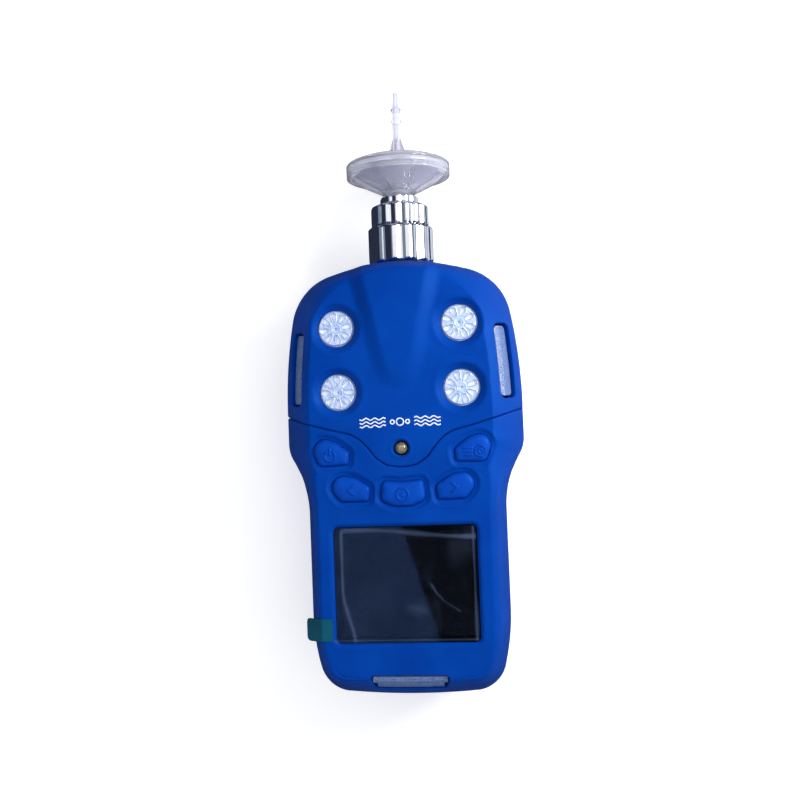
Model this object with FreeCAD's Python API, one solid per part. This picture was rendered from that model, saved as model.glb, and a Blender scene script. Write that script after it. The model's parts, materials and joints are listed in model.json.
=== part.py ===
import FreeCAD, Part
import math
import os

# Portable pumped four-gas detector, lying on its back.
# Frame: +Z out of the front face, +Y towards the gas inlet, +X to the right of someone facing the
# front. The origin is the bottom centre of the object's box. Every length is in millimetres.

V = FreeCAD.Vector
X_AXIS = V(1, 0, 0)
Y_AXIS = V(0, 1, 0)
Z_AXIS = V(0, 0, 1)

# ---- driving dimensions ---------------------------------------------------------------------
NOZZLE_END = 99.8           # tip of the filter nozzle
CASE_END = 101.0            # bottom end of the case, below the origin
CLIP_HEIGHT = 9.0           # how far the belt clip stands off the back
CASE_DEPTH = 36.0           # back of the case to the flat of its front
WALL = 2.2
CEILING = 2.5               # thickness of the front face
FIT_GAP = 0.3               # between a key and its hole

BACK_Z = CLIP_HEIGHT
FRONT_Z = BACK_Z + CASE_DEPTH
FLOOR_Z = BACK_Z + WALL
CEILING_Z = FRONT_Z - CEILING
PARTING_Z = 32.0            # where the rear cover meets the two front covers
WIDEST_Z = 35.0             # the case is widest from the parting up to here
SHOULDER_Z = 39.5           # half way up the front bevel
HEEL_Z = 14.0               # where the back edge starts to round in

# Right half of the case's outline at its widest, from the top centre round to the bottom centre.
# "knot" ends a run; "arc" is the middle point of an arc between two knots. Each point has its
# outward normal in degrees, and how far the bevel has come in at SHOULDER_Z and at FRONT_Z.
OUTLINE = (
    ("arc", 0.0, 39.8, 90.0, 0.8, 4.4),
    ("knot", 22.0, 36.6, 73.0, 1.4, 5.2),
    ("arc", 31.0, 31.6, 43.0, 3.0, 7.6),
    ("knot", 36.0, 22.5, 11.0, 4.0, 9.2),
    ("arc", 38.2, 7.0, 5.0, 4.2, 9.5),
    ("knot", 38.9, -10.0, 0.0, 4.2, 9.5),
    ("knot", 38.9, -19.0, 0.0, 4.0, 9.0),
    ("arc", 38.3, -22.4, -14.0, 3.6, 8.4),
    ("knot", 36.9, -25.2, -27.0, 3.0, 7.8),
    ("knot", 34.6, -29.8, -27.0, 2.2, 6.4),
    ("arc", 33.0, -35.2, -11.0, 1.7, 5.6),
    ("knot", 32.3, -42.0, 0.0, 1.5, 5.2),
    ("knot", 32.3, -74.0, 0.0, 1.5, 5.2),
    ("arc", 31.8, -82.6, -7.0, 1.4, 5.2),
    ("knot", 30.3, -91.0, -14.0, 1.3, 5.2),
    ("arc", 27.2, -97.1, -48.0, 1.4, 5.8),
    ("knot", 21.5, -100.0, -84.0, 1.4, 6.2),
    ("arc", 0.0, -CASE_END, -90.0, 1.4, 6.6),
)
HEEL_INSET = 1.2            # taper of the rear cover at HEEL_Z
BACK_INSET = 4.8            # and at its back face

# Joint between the sensor cover and the front cover, right half, from the edge to the centre.
SEAM_EDGE = (45.0, -8.3)
SEAM_SIDE = (32.0, -12.2)
SEAM_SHOULDER = (18.0, -16.0)
SEAM_BEND = (13.2, -18.3)
SEAM_NECK = (10.4, -21.3)
SEAM_TONGUE = (7.8, -24.8)
SEAM_TIP_Y = -27.4

# Gas sensors: standard 20.2 mm cells, one pitch apart down each side of the head
SENSOR_X = 20.0
SENSOR_ROWS = (18.0, -2.7)
SENSOR_R = 10.1
SENSOR_Z = (24.5, 40.9)
SENSOR_PIN_CIRCLE = 6.75
SENSOR_PIN_R = 0.7
MEMBRANE_THICK = 0.3
GRILLE_R = 5.75
DISH_R = 7.75
DISH_DEPTH = 1.5

# Raised hump over the gas path
HUMP_TOP_HALF = 13.6
HUMP_END_HALF = 5.8
HUMP_END_Y = 6.0
HUMP_RISE_TOP = 2.6
HUMP_RISE_END = 0.9
HUMP_SLOPE = 2.6

# Keys: name, centre x, centre y, width, height, tilt in degrees
KEYS = (
    ("button_power", -23.2, -22.3, 11.0, 8.6, -6.0),
    ("button_light", 23.2, -22.3, 11.0, 8.6, 6.0),
    ("button_left", -17.1, -34.0, 12.2, 9.0, -12.0),
    ("button_right", 17.1, -34.0, 12.2, 9.0, 12.0),
    ("button_ok", 0.0, -35.7, 14.6, 9.4, 0.0),
)
KEY_TOP_Z = FRONT_Z + 0.2
KEY_FLANGE = 0.8
KEY_FLANGE_Z = (41.2, 42.4)
KEY_POST_R = 1.5
KEY_POST_Z = 39.6
MOAT_WIDTH = 1.2
MOAT_DEPTH = 0.8

# Display: a 2.4 inch panel behind a window set into the front
SCREEN_Y = -64.5
WINDOW_SIZE = (45.8, 36.7)
WINDOW_DROP = 0.5
WINDOW_THICK = 1.2
LEDGE = 2.0
LCD_SIZE = (51.0, 41.0)
LCD_Z = (39.8, 42.2)
LCD_FRAME_SIZE = (52.6, 43.6)
FILM_THICK = 0.12
TAB_Y = (-82.3, -75.0)
TAB_THICK = 0.2

# Alarm lights
SIDE_LIGHT_CENTRE = (33.5, 5.4, 40.0)
SIDE_LIGHT_SIZE = (5.6, 22.8)
SIDE_LIGHT_TILT = 46.0
SIDE_LIGHT_LEAN = 3.2
BOTTOM_LIGHT_CENTRE = (0.0, -96.1, 43.6)
BOTTOM_LIGHT_SIZE = (24.0, 4.4)
BOTTOM_LIGHT_TILT = 42.0
LIGHT_PROUD = 0.15
LIGHT_THICK = 2.0
LED_HEIGHT = 1.9
STATUS_Y = -21.3
STATUS_R = 1.85

# Boards
BOARD_THICK = 1.6
MAIN_BOARD_Z = 36.0
MAIN_BOARD_TOP = MAIN_BOARD_Z + BOARD_THICK
SENSOR_BOARD_Z = 22.7
SENSOR_BOARD_TOP = SENSOR_BOARD_Z + BOARD_THICK
CHARGE_BOARD_Z = 22.0
CHARGE_BOARD_TOP = CHARGE_BOARD_Z + BOARD_THICK

# Battery: two 18650 cells side by side
CELL_R = 9.15
CELL_LENGTH = 65.0
CELL_X = 9.3
CELL_Y = -89.0
CELL_Z = 21.5

# Alarm sounder and vibrator, on the underside of the main board
BUZZER_PLACE = (23.6, -74.0)
VIBRATOR_AXIS = (-24.0, 32.3)   # x, z
VIBRATOR_SHAFT_R = 0.5

# Pump
PUMP_AXIS_Z = 20.0
PUMP_MOTOR_R = 6.0
PUMP_MOTOR_Y = (-9.5, 8.0)
PUMP_HEAD_Y = 22.0
PUMP_OUTLET_Y = 12.0
HOSE_R = 2.0
BARB_R = 1.2
GAS_BORE_R = 0.7

# Gas inlet, turned parts on one axis
INLET_Z = 25.0
STEM_R = 5.0
STEM_CLEARANCE = 0.1
NUT_R = 11.2
NUT_Y = (40.6, 52.9)
NUT_LOBES = 12
RING_R = 9.8
RING_Y = (53.1, 60.4)
RING_LOBES = 16
SOCKET_R = 6.5
SOCKET_Y = (60.6, 63.8)
LUER_R = 2.0
DISC_R = 17.6
DISC_Y = (70.2, 74.4)
NOZZLE_R = 1.75
NOZZLE_Y = (88.5, 94.6)

# Belt clip
CLIP_PIVOT = (6.0, 5.0)     # y, z of the pin
CLIP_PLATE = 1.2
CLIP_HALF_WIDTH = 9.0
CLIP_TIP_Y = -47.0
PIN_R = 1.25
PIN_CLEARANCE = 0.05

# Charging port
PORT_Z = 25.2
FLAP_Z = (20.5, 29.5)
FLAP_HALF_WIDTH = 7.5
FLAP_THICK = 1.2

# Screws
CASE_SCREWS = ((23.0, -90.0), (33.0, -20.0), (27.9, 28.8))
CASE_BOSS_R = 2.6
CASE_SCREW_Z = (23.6, 37.6)  # seat of the head, and tip
CASE_WELL_R = 2.0
MAIN_BOARD_SCREWS = ((26.0, -39.2), (12.0, -89.0))
SENSOR_BOARD_SCREWS = ((31.5, 7.65), (12.2, 30.6))
CLIP_SCREWS = ((6.0, 13.0),)
SCREW_R = 1.0


# ---- helpers --------------------------------------------------------------------------------
def box(x0, x1, y0, y1, z0, z1):
    return Part.makeBox(x1 - x0, y1 - y0, z1 - z0, V(x0, y0, z0))


def post(x, y, z0, z1, radius):
    """Cylinder along Z."""
    return Part.makeCylinder(radius, z1 - z0, V(x, y, z0))


def rod(x, z, y0, y1, radius):
    """Cylinder along Y."""
    return Part.makeCylinder(radius, y1 - y0, V(x, y0, z), Y_AXIS)


def slab(x0, x1, y0, y1, z0, z1, corner):
    """Box with its four upright edges rounded."""
    block = box(x0, x1, y0, y1, z0, z1)
    upright = [e for e in block.Edges if abs(e.tangentAt(e.FirstParameter).z) > 0.99]
    return block.makeFillet(corner, upright)


def turned(profile, z=INLET_Z):
    """Solid of revolution about the Y axis at height z; profile is a list of (radius, y)."""
    points = [V(r, y, 0) for r, y in profile]
    face = Part.Face(Part.makePolygon(points + points[:1]))
    solid = face.revolve(V(0, 0, 0), Y_AXIS, 360)
    solid.translate(V(0, 0, z))
    return solid


def fused(shapes):
    return shapes[0].multiFuse(list(shapes[1:])).removeSplitter()


def mirrored_pairs(places):
    """Each (x, y) on both sides of the centre line."""
    return [(side * x, y) for x, y in places for side in (-1, 1)]


# ---- case outline ---------------------------------------------------------------------------
def inset_at(z, shoulder, front):
    """How far the outline has moved in at height z."""
    if z >= SHOULDER_Z:
        return shoulder + (front - shoulder) * (z - SHOULDER_Z) / (FRONT_Z - SHOULDER_Z)
    if z >= WIDEST_Z:
        return shoulder * (z - WIDEST_Z) / (SHOULDER_Z - WIDEST_Z)
    if z >= PARTING_Z:
        return 0.0
    if z >= HEEL_Z:
        return HEEL_INSET * (PARTING_Z - z) / (PARTING_Z - HEEL_Z)
    return HEEL_INSET + (BACK_INSET - HEEL_INSET) * (HEEL_Z - z) / (HEEL_Z - BACK_Z)


def outline(z, wall=0.0):
    """Closed outline of the case at height z, moved in by the wall thickness."""
    right = []
    for kind, x, y, normal, shoulder, front in OUTLINE:
        inset = inset_at(z, shoulder, front) + wall
        angle = math.radians(normal)
        right.append((kind, V(x - inset * math.cos(angle), y - inset * math.sin(angle), z)))
    top = right[0]
    bottom = right[-1]
    side = right[1:-1]
    left = [(kind, V(-p.x, p.y, p.z)) for kind, p in reversed(side)]
    loop = side + [bottom] + left + [top, side[0]]
    edges = []
    step = 0
    while step < len(loop) - 1:
        start = loop[step][1]
        if loop[step + 1][0] == "arc":
            edges.append(Part.Arc(start, loop[step + 1][1], loop[step + 2][1]).toShape())
            step += 2
        else:
            edges.append(Part.LineSegment(start, loop[step + 1][1]).toShape())
            step += 1
    return Part.Wire(edges)


def case_body(levels, wall=0.0):
    """Solid of the case's shape through the given heights."""
    return Part.makeLoft([outline(z, wall) for z in levels], True, True)


def head_region():
    """Block that covers the sensor cover's side of the seam."""
    def at(x, y):
        return V(x, y, PARTING_Z - 1)

    edges = []
    for side in (1, -1):
        run = [
            Part.LineSegment(at(side * SEAM_EDGE[0], SEAM_EDGE[1]), at(side * SEAM_SIDE[0], SEAM_SIDE[1])),
            Part.LineSegment(at(side * SEAM_SIDE[0], SEAM_SIDE[1]),
                             at(side * SEAM_SHOULDER[0], SEAM_SHOULDER[1])),
            Part.Arc(at(side * SEAM_SHOULDER[0], SEAM_SHOULDER[1]), at(side * SEAM_BEND[0], SEAM_BEND[1]),
                     at(side * SEAM_NECK[0], SEAM_NECK[1])),
            Part.LineSegment(at(side * SEAM_NECK[0], SEAM_NECK[1]),
                             at(side * SEAM_TONGUE[0], SEAM_TONGUE[1])),
            Part.LineSegment(at(side * SEAM_EDGE[0], SEAM_EDGE[1]), at(side * SEAM_EDGE[0], NOZZLE_END)),
        ]
        edges += [curve.toShape() for curve in run]
    tongue = Part.Arc(at(SEAM_TONGUE[0], SEAM_TONGUE[1]), at(0, SEAM_TIP_Y),
                      at(-SEAM_TONGUE[0], SEAM_TONGUE[1]))
    far = Part.LineSegment(at(SEAM_EDGE[0], NOZZLE_END), at(-SEAM_EDGE[0], NOZZLE_END))
    edges += [tongue.toShape(), far.toShape()]
    wire = Part.Wire(Part.__sortEdges__(edges))
    return Part.Face(wire).extrude(V(0, 0, CASE_DEPTH))


def hump():
    """Tapered ridge down the middle of the head, highest at the inlet end."""
    def ring(z, grow):
        wide = HUMP_TOP_HALF + grow
        narrow = HUMP_END_HALF + grow
        top_y = OUTLINE[0][2] + 1
        corners = [V(-wide, top_y, z), V(-narrow, HUMP_END_Y, z), V(narrow, HUMP_END_Y, z), V(wide, top_y, z)]
        tip = V(0, HUMP_END_Y - narrow, z)
        return Part.Wire([
            Part.LineSegment(corners[0], corners[1]).toShape(),
            Part.Arc(corners[1], tip, corners[2]).toShape(),
            Part.LineSegment(corners[2], corners[3]).toShape(),
            Part.LineSegment(corners[3], corners[0]).toShape(),
        ])

    top_z = FRONT_Z + HUMP_RISE_TOP
    ridge = Part.makeLoft([ring(CEILING_Z, HUMP_SLOPE / 2), ring(top_z, -HUMP_SLOPE / 2)], True, True)
    tip_y = HUMP_END_Y - HUMP_END_HALF - HUMP_SLOPE
    slope = Part.makePolygon([
        V(-40, tip_y, CEILING_Z - 1),
        V(-40, tip_y, FRONT_Z + HUMP_RISE_END),
        V(-40, 34.0, top_z),
        V(-40, 36.2, top_z - 0.4),
        V(-40, 38.9, WIDEST_Z + 3),
        V(-40, tip_y, CEILING_Z - 1),
    ])
    limit = Part.Face(slope).extrude(V(80, 0, 0))
    return ridge.common(limit)


# ---- case -----------------------------------------------------------------------------------
def key_prism(key, grow, z0, z1):
    """Upright solid with the key's oval outline, grown all round."""
    x, y, width, height, tilt = key[1:]
    oval = Part.Ellipse(V(0, 0, z0), width / 2 + grow, height / 2 + grow)
    solid = Part.Face(Part.Wire(oval.toShape())).extrude(V(0, 0, z1 - z0))
    solid.rotate(V(0, 0, 0), Z_AXIS, tilt)
    solid.translate(V(x, y, 0))
    return solid


def side_light_block(side, grow, inner, outer):
    """Round-ended bar lying on the side bevel of the head."""
    half_width = SIDE_LIGHT_SIZE[0] / 2 + grow
    half_length = SIDE_LIGHT_SIZE[1] / 2 + grow
    bar = slab(-half_width, half_width, -half_length, half_length, inner, outer, half_width - 0.4)
    bar.rotate(V(0, 0, 0), Y_AXIS, side * SIDE_LIGHT_TILT)
    bar.rotate(V(0, 0, 0), Z_AXIS, side * SIDE_LIGHT_LEAN)
    bar.translate(V(side * SIDE_LIGHT_CENTRE[0], SIDE_LIGHT_CENTRE[1], SIDE_LIGHT_CENTRE[2]))
    return bar


def bottom_light_block(grow, inner, outer):
    """Bar lying on the bottom bevel, its lower tier narrower than its upper one."""
    half_width = BOTTOM_LIGHT_SIZE[0] / 2 + grow
    half_height = BOTTOM_LIGHT_SIZE[1] / 2 + grow
    upper = slab(-half_width, half_width, -0.3, half_height, inner, outer, 0.8)
    lower = slab(1.6 - half_width, half_width - 1.6, -half_height, 0.6, inner, outer, 0.4)
    bar = fused([upper, lower])
    bar.rotate(V(0, 0, 0), X_AXIS, BOTTOM_LIGHT_TILT)
    bar.translate(V(*BOTTOM_LIGHT_CENTRE))
    return bar


def gasket_ring(grow=0.0):
    outer = Part.Face(outline(PARTING_Z, 0.7 - grow))
    inner = Part.Face(outline(PARTING_Z, 1.6 + grow))
    ring = outer.cut(inner)
    ring.translate(V(0, 0, -0.5 - grow))
    return ring.extrude(V(0, 0, 1.0 + 2 * grow))


def front_shell():
    """Both front covers in one, before the seam parts them."""
    outer = fused([case_body((PARTING_Z, WIDEST_Z, SHOULDER_Z, FRONT_Z)), hump()])
    cavity = case_body((PARTING_Z, WIDEST_Z, SHOULDER_Z, CEILING_Z), WALL)
    shell = outer.cut(cavity)
    bosses = [post(x, y, PARTING_Z, CEILING_Z + 0.5, CASE_BOSS_R) for x, y in mirrored_pairs(CASE_SCREWS)]
    bosses += [post(x, y, MAIN_BOARD_TOP, CEILING_Z + 0.5, 1.8) for x, y in mirrored_pairs(MAIN_BOARD_SCREWS)]
    shell = fused([shell] + [boss.common(outer) for boss in bosses])
    drills = [post(x, y, PARTING_Z, CASE_SCREW_Z[1] + 0.4, SCREW_R) for x, y in mirrored_pairs(CASE_SCREWS)]
    drills += [post(x, y, MAIN_BOARD_TOP, 40.6, SCREW_R) for x, y in mirrored_pairs(MAIN_BOARD_SCREWS)]
    for side in (-1, 1):
        drills.append(side_light_block(side, 0.0, -LIGHT_THICK - 1, 3.0))
    drills.append(bottom_light_block(0.0, -LIGHT_THICK - 1, 3.0))
    drills.append(gasket_ring())
    return shell.cut(Part.makeCompound(drills))


def sensor_cover():
    cover = front_shell().common(head_region())
    nipple = post(0, PUMP_OUTLET_Y, 38.0, CEILING_Z + 0.5, BARB_R)
    cover = fused([cover, nipple])
    cuts = [post(0, PUMP_OUTLET_Y, 37.0, CEILING_Z + 1.0, GAS_BORE_R)]
    for y in SENSOR_ROWS:
        for side in (-1, 1):
            dish = Part.makeCone(GRILLE_R + 0.15, DISH_R, DISH_DEPTH,
                                 V(side * SENSOR_X, y, FRONT_Z - DISH_DEPTH))
            cuts.append(dish)
            cuts.append(post(side * SENSOR_X, y, CEILING_Z - 1, FRONT_Z, GRILLE_R + 0.05))
    cuts.append(Part.makeCone(STATUS_R + 0.3, STATUS_R + 1.1, 1.0, V(0, STATUS_Y, FRONT_Z - 1.0)))
    cuts.append(post(0, STATUS_Y, CEILING_Z - 1, FRONT_Z, STATUS_R + 0.05))
    return cover.cut(Part.makeCompound(cuts))


def front_cover():
    cover = front_shell().cut(head_region())
    for key in KEYS:
        cover = cover.cut(key_prism(key, MOAT_WIDTH, FRONT_Z - MOAT_DEPTH, FRONT_Z + 1))
        cover = cover.cut(key_prism(key, FIT_GAP, CEILING_Z - 1, FRONT_Z))
    half_x = WINDOW_SIZE[0] / 2 + 0.05
    half_y = WINDOW_SIZE[1] / 2 + 0.05
    seat_z = FRONT_Z - WINDOW_DROP - WINDOW_THICK
    recess = slab(-half_x, half_x, SCREEN_Y - half_y, SCREEN_Y + half_y, seat_z, FRONT_Z + 1, 1.6)
    sight = box(LEDGE - half_x, half_x - LEDGE, SCREEN_Y - half_y + LEDGE, SCREEN_Y + half_y - LEDGE,
                CEILING_Z - 1, FRONT_Z)
    return cover.cut(Part.makeCompound([recess, sight]))


def rear_cover():
    outer = case_body((BACK_Z, HEEL_Z, PARTING_Z))
    cavity = case_body((FLOOR_Z, HEEL_Z, PARTING_Z), WALL)
    shell = outer.cut(cavity)
    solids = [post(x, y, BACK_Z + 1, PARTING_Z, CASE_BOSS_R) for x, y in mirrored_pairs(CASE_SCREWS)]
    solids += [post(x, y, BACK_Z + 1, SENSOR_BOARD_Z, 2.2) for x, y in mirrored_pairs(SENSOR_BOARD_SCREWS)]
    solids += [post(x, y, BACK_Z + 1, 13.4, 2.6) for x, y in mirrored_pairs(CLIP_SCREWS)]
    for side in (-1, 1):
        solids.append(box(side * 9 - 1, side * 9 + 1, -98.2, -92.2, BACK_Z + 1, CHARGE_BOARD_Z))
    shell = fused([shell] + [solid.common(outer) for solid in solids])
    cuts = []
    for x, y in mirrored_pairs(CASE_SCREWS):
        cuts.append(post(x, y, BACK_Z - 1, CASE_SCREW_Z[0], CASE_WELL_R))
        cuts.append(post(x, y, BACK_Z, PARTING_Z + 1, SCREW_R + 0.2))
    cuts += [post(x, y, SENSOR_BOARD_Z - 5, SENSOR_BOARD_Z, SCREW_R)
             for x, y in mirrored_pairs(SENSOR_BOARD_SCREWS)]
    cuts += [post(x, y, BACK_Z - 1, 12.6, SCREW_R) for x, y in mirrored_pairs(CLIP_SCREWS)]
    cuts.append(rod(0, INLET_Z, 30, 45, STEM_R + 0.02))
    flap_gap = 0.2
    cuts.append(box(-FLAP_HALF_WIDTH - flap_gap, FLAP_HALF_WIDTH + flap_gap, -CASE_END - 1, 1.45 - CASE_END,
                    FLAP_Z[0] - flap_gap, FLAP_Z[1] + flap_gap))
    cuts.append(box(-4.8, 4.8, -CASE_END, 3.8 - CASE_END, PORT_Z - 1.9, PORT_Z + 1.9))
    cuts.append(gasket_ring())
    return shell.cut(Part.makeCompound(cuts))


def case_gasket():
    return gasket_ring()


# ---- head: grilles, membranes, sensors, lights ------------------------------------------------
def sensor_grille(x, y):
    """Disc with a hub, eight spokes and a flange that bears on the inside of the cover."""
    top = FRONT_Z - DISH_DEPTH + 0.2
    disc = post(0, 0, CEILING_Z - 0.1, top, GRILLE_R)
    flange = post(0, 0, CEILING_Z - 0.9, CEILING_Z - 0.05, GRILLE_R + 1.4)
    hollow = post(0, 0, CEILING_Z - 1, CEILING_Z + 0.2, GRILLE_R - 0.6)
    grille = fused([disc, flange]).cut(hollow)
    slots = []
    for step in range(8):
        slot = box(2.1, GRILLE_R - 0.7, -0.75, 0.75, CEILING_Z - 1, top + 1)
        slot.rotate(V(0, 0, 0), Z_AXIS, 45.0 * step + 22.5)
        slots.append(slot)
    slots.append(post(0, 0, CEILING_Z - 1, top + 1, 0.8))
    grille = grille.cut(Part.makeCompound(slots))
    grille.translate(V(x, y, 0))
    return grille


def gas_sensor(x, y):
    """Electrochemical cell with its gas window on top and three pins underneath."""
    can = post(x, y, SENSOR_Z[0], SENSOR_Z[1] - 0.8, SENSOR_R)
    crown = post(x, y, SENSOR_Z[1] - 0.8, SENSOR_Z[1], SENSOR_R - 2.5)
    window = post(x, y, SENSOR_Z[1] - 0.5, SENSOR_Z[1], 2.5)
    sensor = fused([can, crown]).cut(window)
    pins = [post(px, py, SENSOR_BOARD_Z - 1, SENSOR_Z[0] + 0.1, SENSOR_PIN_R) for px, py in pin_places(x, y)]
    return fused([sensor] + pins)


def pin_places(x, y):
    """The three pins of a sensor centred at x, y."""
    angles = [math.radians(90 + 120 * step) for step in range(3)]
    return [(x + SENSOR_PIN_CIRCLE * math.cos(a), y + SENSOR_PIN_CIRCLE * math.sin(a)) for a in angles]


def sensor_places():
    return [(side * SENSOR_X, y) for y in SENSOR_ROWS for side in (-1, 1)]


def sensor_membranes():
    low = CEILING_Z - 0.1
    return Part.makeCompound([post(x, y, low, low + MEMBRANE_THICK, GRILLE_R - 0.6) for x, y in sensor_places()])


def alarm_leds():
    leds = []
    for side in (-1, 1):
        for y in (16.0, -1.0):
            leds.append(box(side * 31.6 - 1.4, side * 31.6 + 1.4, y - 1.75, y + 1.75,
                            SENSOR_BOARD_TOP, SENSOR_BOARD_TOP + LED_HEIGHT))
        leds.append(box(side * 6.0 - 1.75, side * 6.0 + 1.75, -91.2, -88.4,
                        MAIN_BOARD_TOP, MAIN_BOARD_TOP + LED_HEIGHT))
    return Part.makeCompound(leds)


def status_led():
    """Round-nosed lamp on a square base."""
    body = post(0, STATUS_Y, 39.6, FRONT_Z - 1.2, STATUS_R)
    nose = Part.makeSphere(STATUS_R, V(0, STATUS_Y, FRONT_Z - 1.2))
    base = box(-2.1, 2.1, STATUS_Y - 2.1, STATUS_Y + 2.1, MAIN_BOARD_TOP, 39.7)
    return fused([body, nose, base])


# ---- keys and display ---------------------------------------------------------------------------
def key_cap(key):
    """Domed cap with a flange that keeps it in the cover, and a post that works the switch."""
    x, y = key[1:3]
    cap = key_prism(key, 0.0, KEY_FLANGE_Z[0], KEY_TOP_Z)
    rim = [e for e in cap.Edges if e.BoundBox.ZMin > KEY_TOP_Z - 0.01]
    cap = cap.makeFillet(0.9, rim)
    flange = key_prism(key, KEY_FLANGE, KEY_FLANGE_Z[0], KEY_FLANGE_Z[1])
    stem = post(x, y, KEY_POST_Z, KEY_FLANGE_Z[0] + 0.1, KEY_POST_R)
    return fused([cap, flange, stem])


def keypad_mat():
    upper = slab(-29.5, 29.5, -28.0, -17.6, 38.4, 38.9, 3.0)
    lower = slab(-23.4, 23.4, -41.2, -25.0, 38.4, 38.9, 3.0)
    return fused([upper, lower]).cut(post(0, STATUS_Y, 38, 39, 3.2))


def key_switches():
    switches = []
    for key in KEYS:
        x, y = key[1:3]
        switches.append(box(x - 2, x + 2, y - 1.5, y + 1.5, MAIN_BOARD_TOP, MAIN_BOARD_TOP + 0.7))
    return Part.makeCompound(switches)


def screen_window():
    half_x = WINDOW_SIZE[0] / 2
    half_y = WINDOW_SIZE[1] / 2
    top = FRONT_Z - WINDOW_DROP
    return slab(-half_x, half_x, SCREEN_Y - half_y, SCREEN_Y + half_y, top - WINDOW_THICK, top, 1.5)


def screen_film():
    half_x = WINDOW_SIZE[0] / 2 - 0.2
    half_y = WINDOW_SIZE[1] / 2 - 0.2
    z = FRONT_Z - WINDOW_DROP
    return slab(-half_x, half_x, SCREEN_Y - half_y, SCREEN_Y + half_y, z, z + FILM_THICK, 1.3)


def film_tab():
    """Pull tab stuck to the film's lower left corner; it runs over the rim and off the side."""
    film_top = FRONT_Z - WINDOW_DROP + FILM_THICK
    rim_top = FRONT_Z + 0.08
    run = [(-20.0, film_top), (-21.4, film_top), (-22.5, rim_top), (-27.6, rim_top), (-34.2, 40.2)]
    upper = [V(x, TAB_Y[0], z + TAB_THICK) for x, z in run]
    lower = [V(x, TAB_Y[0], z) for x, z in reversed(run)]
    face = Part.Face(Part.makePolygon(upper + lower + upper[:1]))
    return face.extrude(V(0, TAB_Y[1] - TAB_Y[0], 0))


def lcd_module():
    half_x = LCD_SIZE[0] / 2
    half_y = LCD_SIZE[1] / 2
    return slab(-half_x, half_x, SCREEN_Y - half_y, SCREEN_Y + half_y, LCD_Z[0], LCD_Z[1], 0.5)


def lcd_frame():
    half_x = LCD_FRAME_SIZE[0] / 2
    half_y = LCD_FRAME_SIZE[1] / 2
    frame = slab(-half_x, half_x, SCREEN_Y - half_y, SCREEN_Y + half_y, MAIN_BOARD_TOP, LCD_Z[0] + 1.0, 1.0)
    seat = lcd_module()
    seat = seat.fuse(box(-22, 22, SCREEN_Y - 17, SCREEN_Y + 17, MAIN_BOARD_TOP - 1, LCD_Z[0] + 0.1))
    return frame.cut(seat)


def light_window(side):
    return side_light_block(side, -0.03, -LIGHT_THICK, LIGHT_PROUD)


def bottom_light():
    return bottom_light_block(-0.03, -LIGHT_THICK, LIGHT_PROUD)


# ---- boards and power -----------------------------------------------------------------------
def main_board():
    board = fused([
        slab(-27.4, 27.4, -87.0, -16.0, MAIN_BOARD_Z, MAIN_BOARD_TOP, 1.5),
        slab(-20.0, 20.0, -91.6, -80.0, MAIN_BOARD_Z, MAIN_BOARD_TOP, 1.0),
    ])
    holes = [post(x, y, MAIN_BOARD_Z - 1, MAIN_BOARD_TOP + 1, SCREW_R + 0.1)
             for x, y in mirrored_pairs(MAIN_BOARD_SCREWS)]
    return board.cut(Part.makeCompound(holes))


def sensor_board():
    """U-shaped board: the pump lies between its two arms."""
    half = [(9.4, 33.4), (15.6, 33.4), (26.6, 28.6), (33.2, 20.0), (33.2, -17.0)]
    right = [V(x, y, SENSOR_BOARD_Z) for x, y in half]
    left = [V(-x, y, SENSOR_BOARD_Z) for x, y in reversed(half)]
    slot = [V(-9.4, -11.0, SENSOR_BOARD_Z), V(9.4, -11.0, SENSOR_BOARD_Z)]
    loop = right + left + slot
    board = Part.Face(Part.makePolygon(loop + loop[:1])).extrude(V(0, 0, BOARD_THICK))
    holes = [post(x, y, SENSOR_BOARD_Z - 1, SENSOR_BOARD_TOP + 1, SCREW_R + 0.1)
             for x, y in mirrored_pairs(SENSOR_BOARD_SCREWS)]
    holes += [post(x, y, SENSOR_BOARD_Z - 1, SENSOR_BOARD_TOP + 1, CASE_BOSS_R + 0.4)
              for x, y in mirrored_pairs(CASE_SCREWS[2:])]
    for x, y in sensor_places():
        holes += [post(px, py, SENSOR_BOARD_Z - 1, SENSOR_BOARD_TOP + 1, SENSOR_PIN_R + 0.05)
                  for px, py in pin_places(x, y)]
    return board.cut(Part.makeCompound(holes))


def charge_board():
    return box(-10.0, 10.0, -97.8, -90.8, CHARGE_BOARD_Z, CHARGE_BOARD_TOP)


def charge_socket():
    """Flat oval receptacle with the contact tongue inside."""
    def oval(half_width, half_height, y0, y1):
        block = box(-half_width, half_width, y0, y1, PORT_Z - half_height, PORT_Z + half_height)
        along = [e for e in block.Edges if abs(e.tangentAt(e.FirstParameter).y) > 0.99]
        return block.makeFillet(half_height - 0.05, along)

    shell = oval(4.5, 1.6, -98.6, -91.4).cut(oval(4.2, 1.3, -99.2, -92.6))
    tongue = box(-3.3, 3.3, -97.8, -92.4, PORT_Z - 0.35, PORT_Z + 0.35)
    return fused([shell, tongue])


def battery_cells():
    cells = []
    for side in (-1, 1):
        can = rod(side * CELL_X, CELL_Z, CELL_Y, CELL_Y + CELL_LENGTH - 0.8, CELL_R)
        cap = rod(side * CELL_X, CELL_Z, CELL_Y + CELL_LENGTH - 0.9, CELL_Y + CELL_LENGTH, 3.0)
        cells.append(fused([can, cap]))
    return Part.makeCompound(cells)


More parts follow.
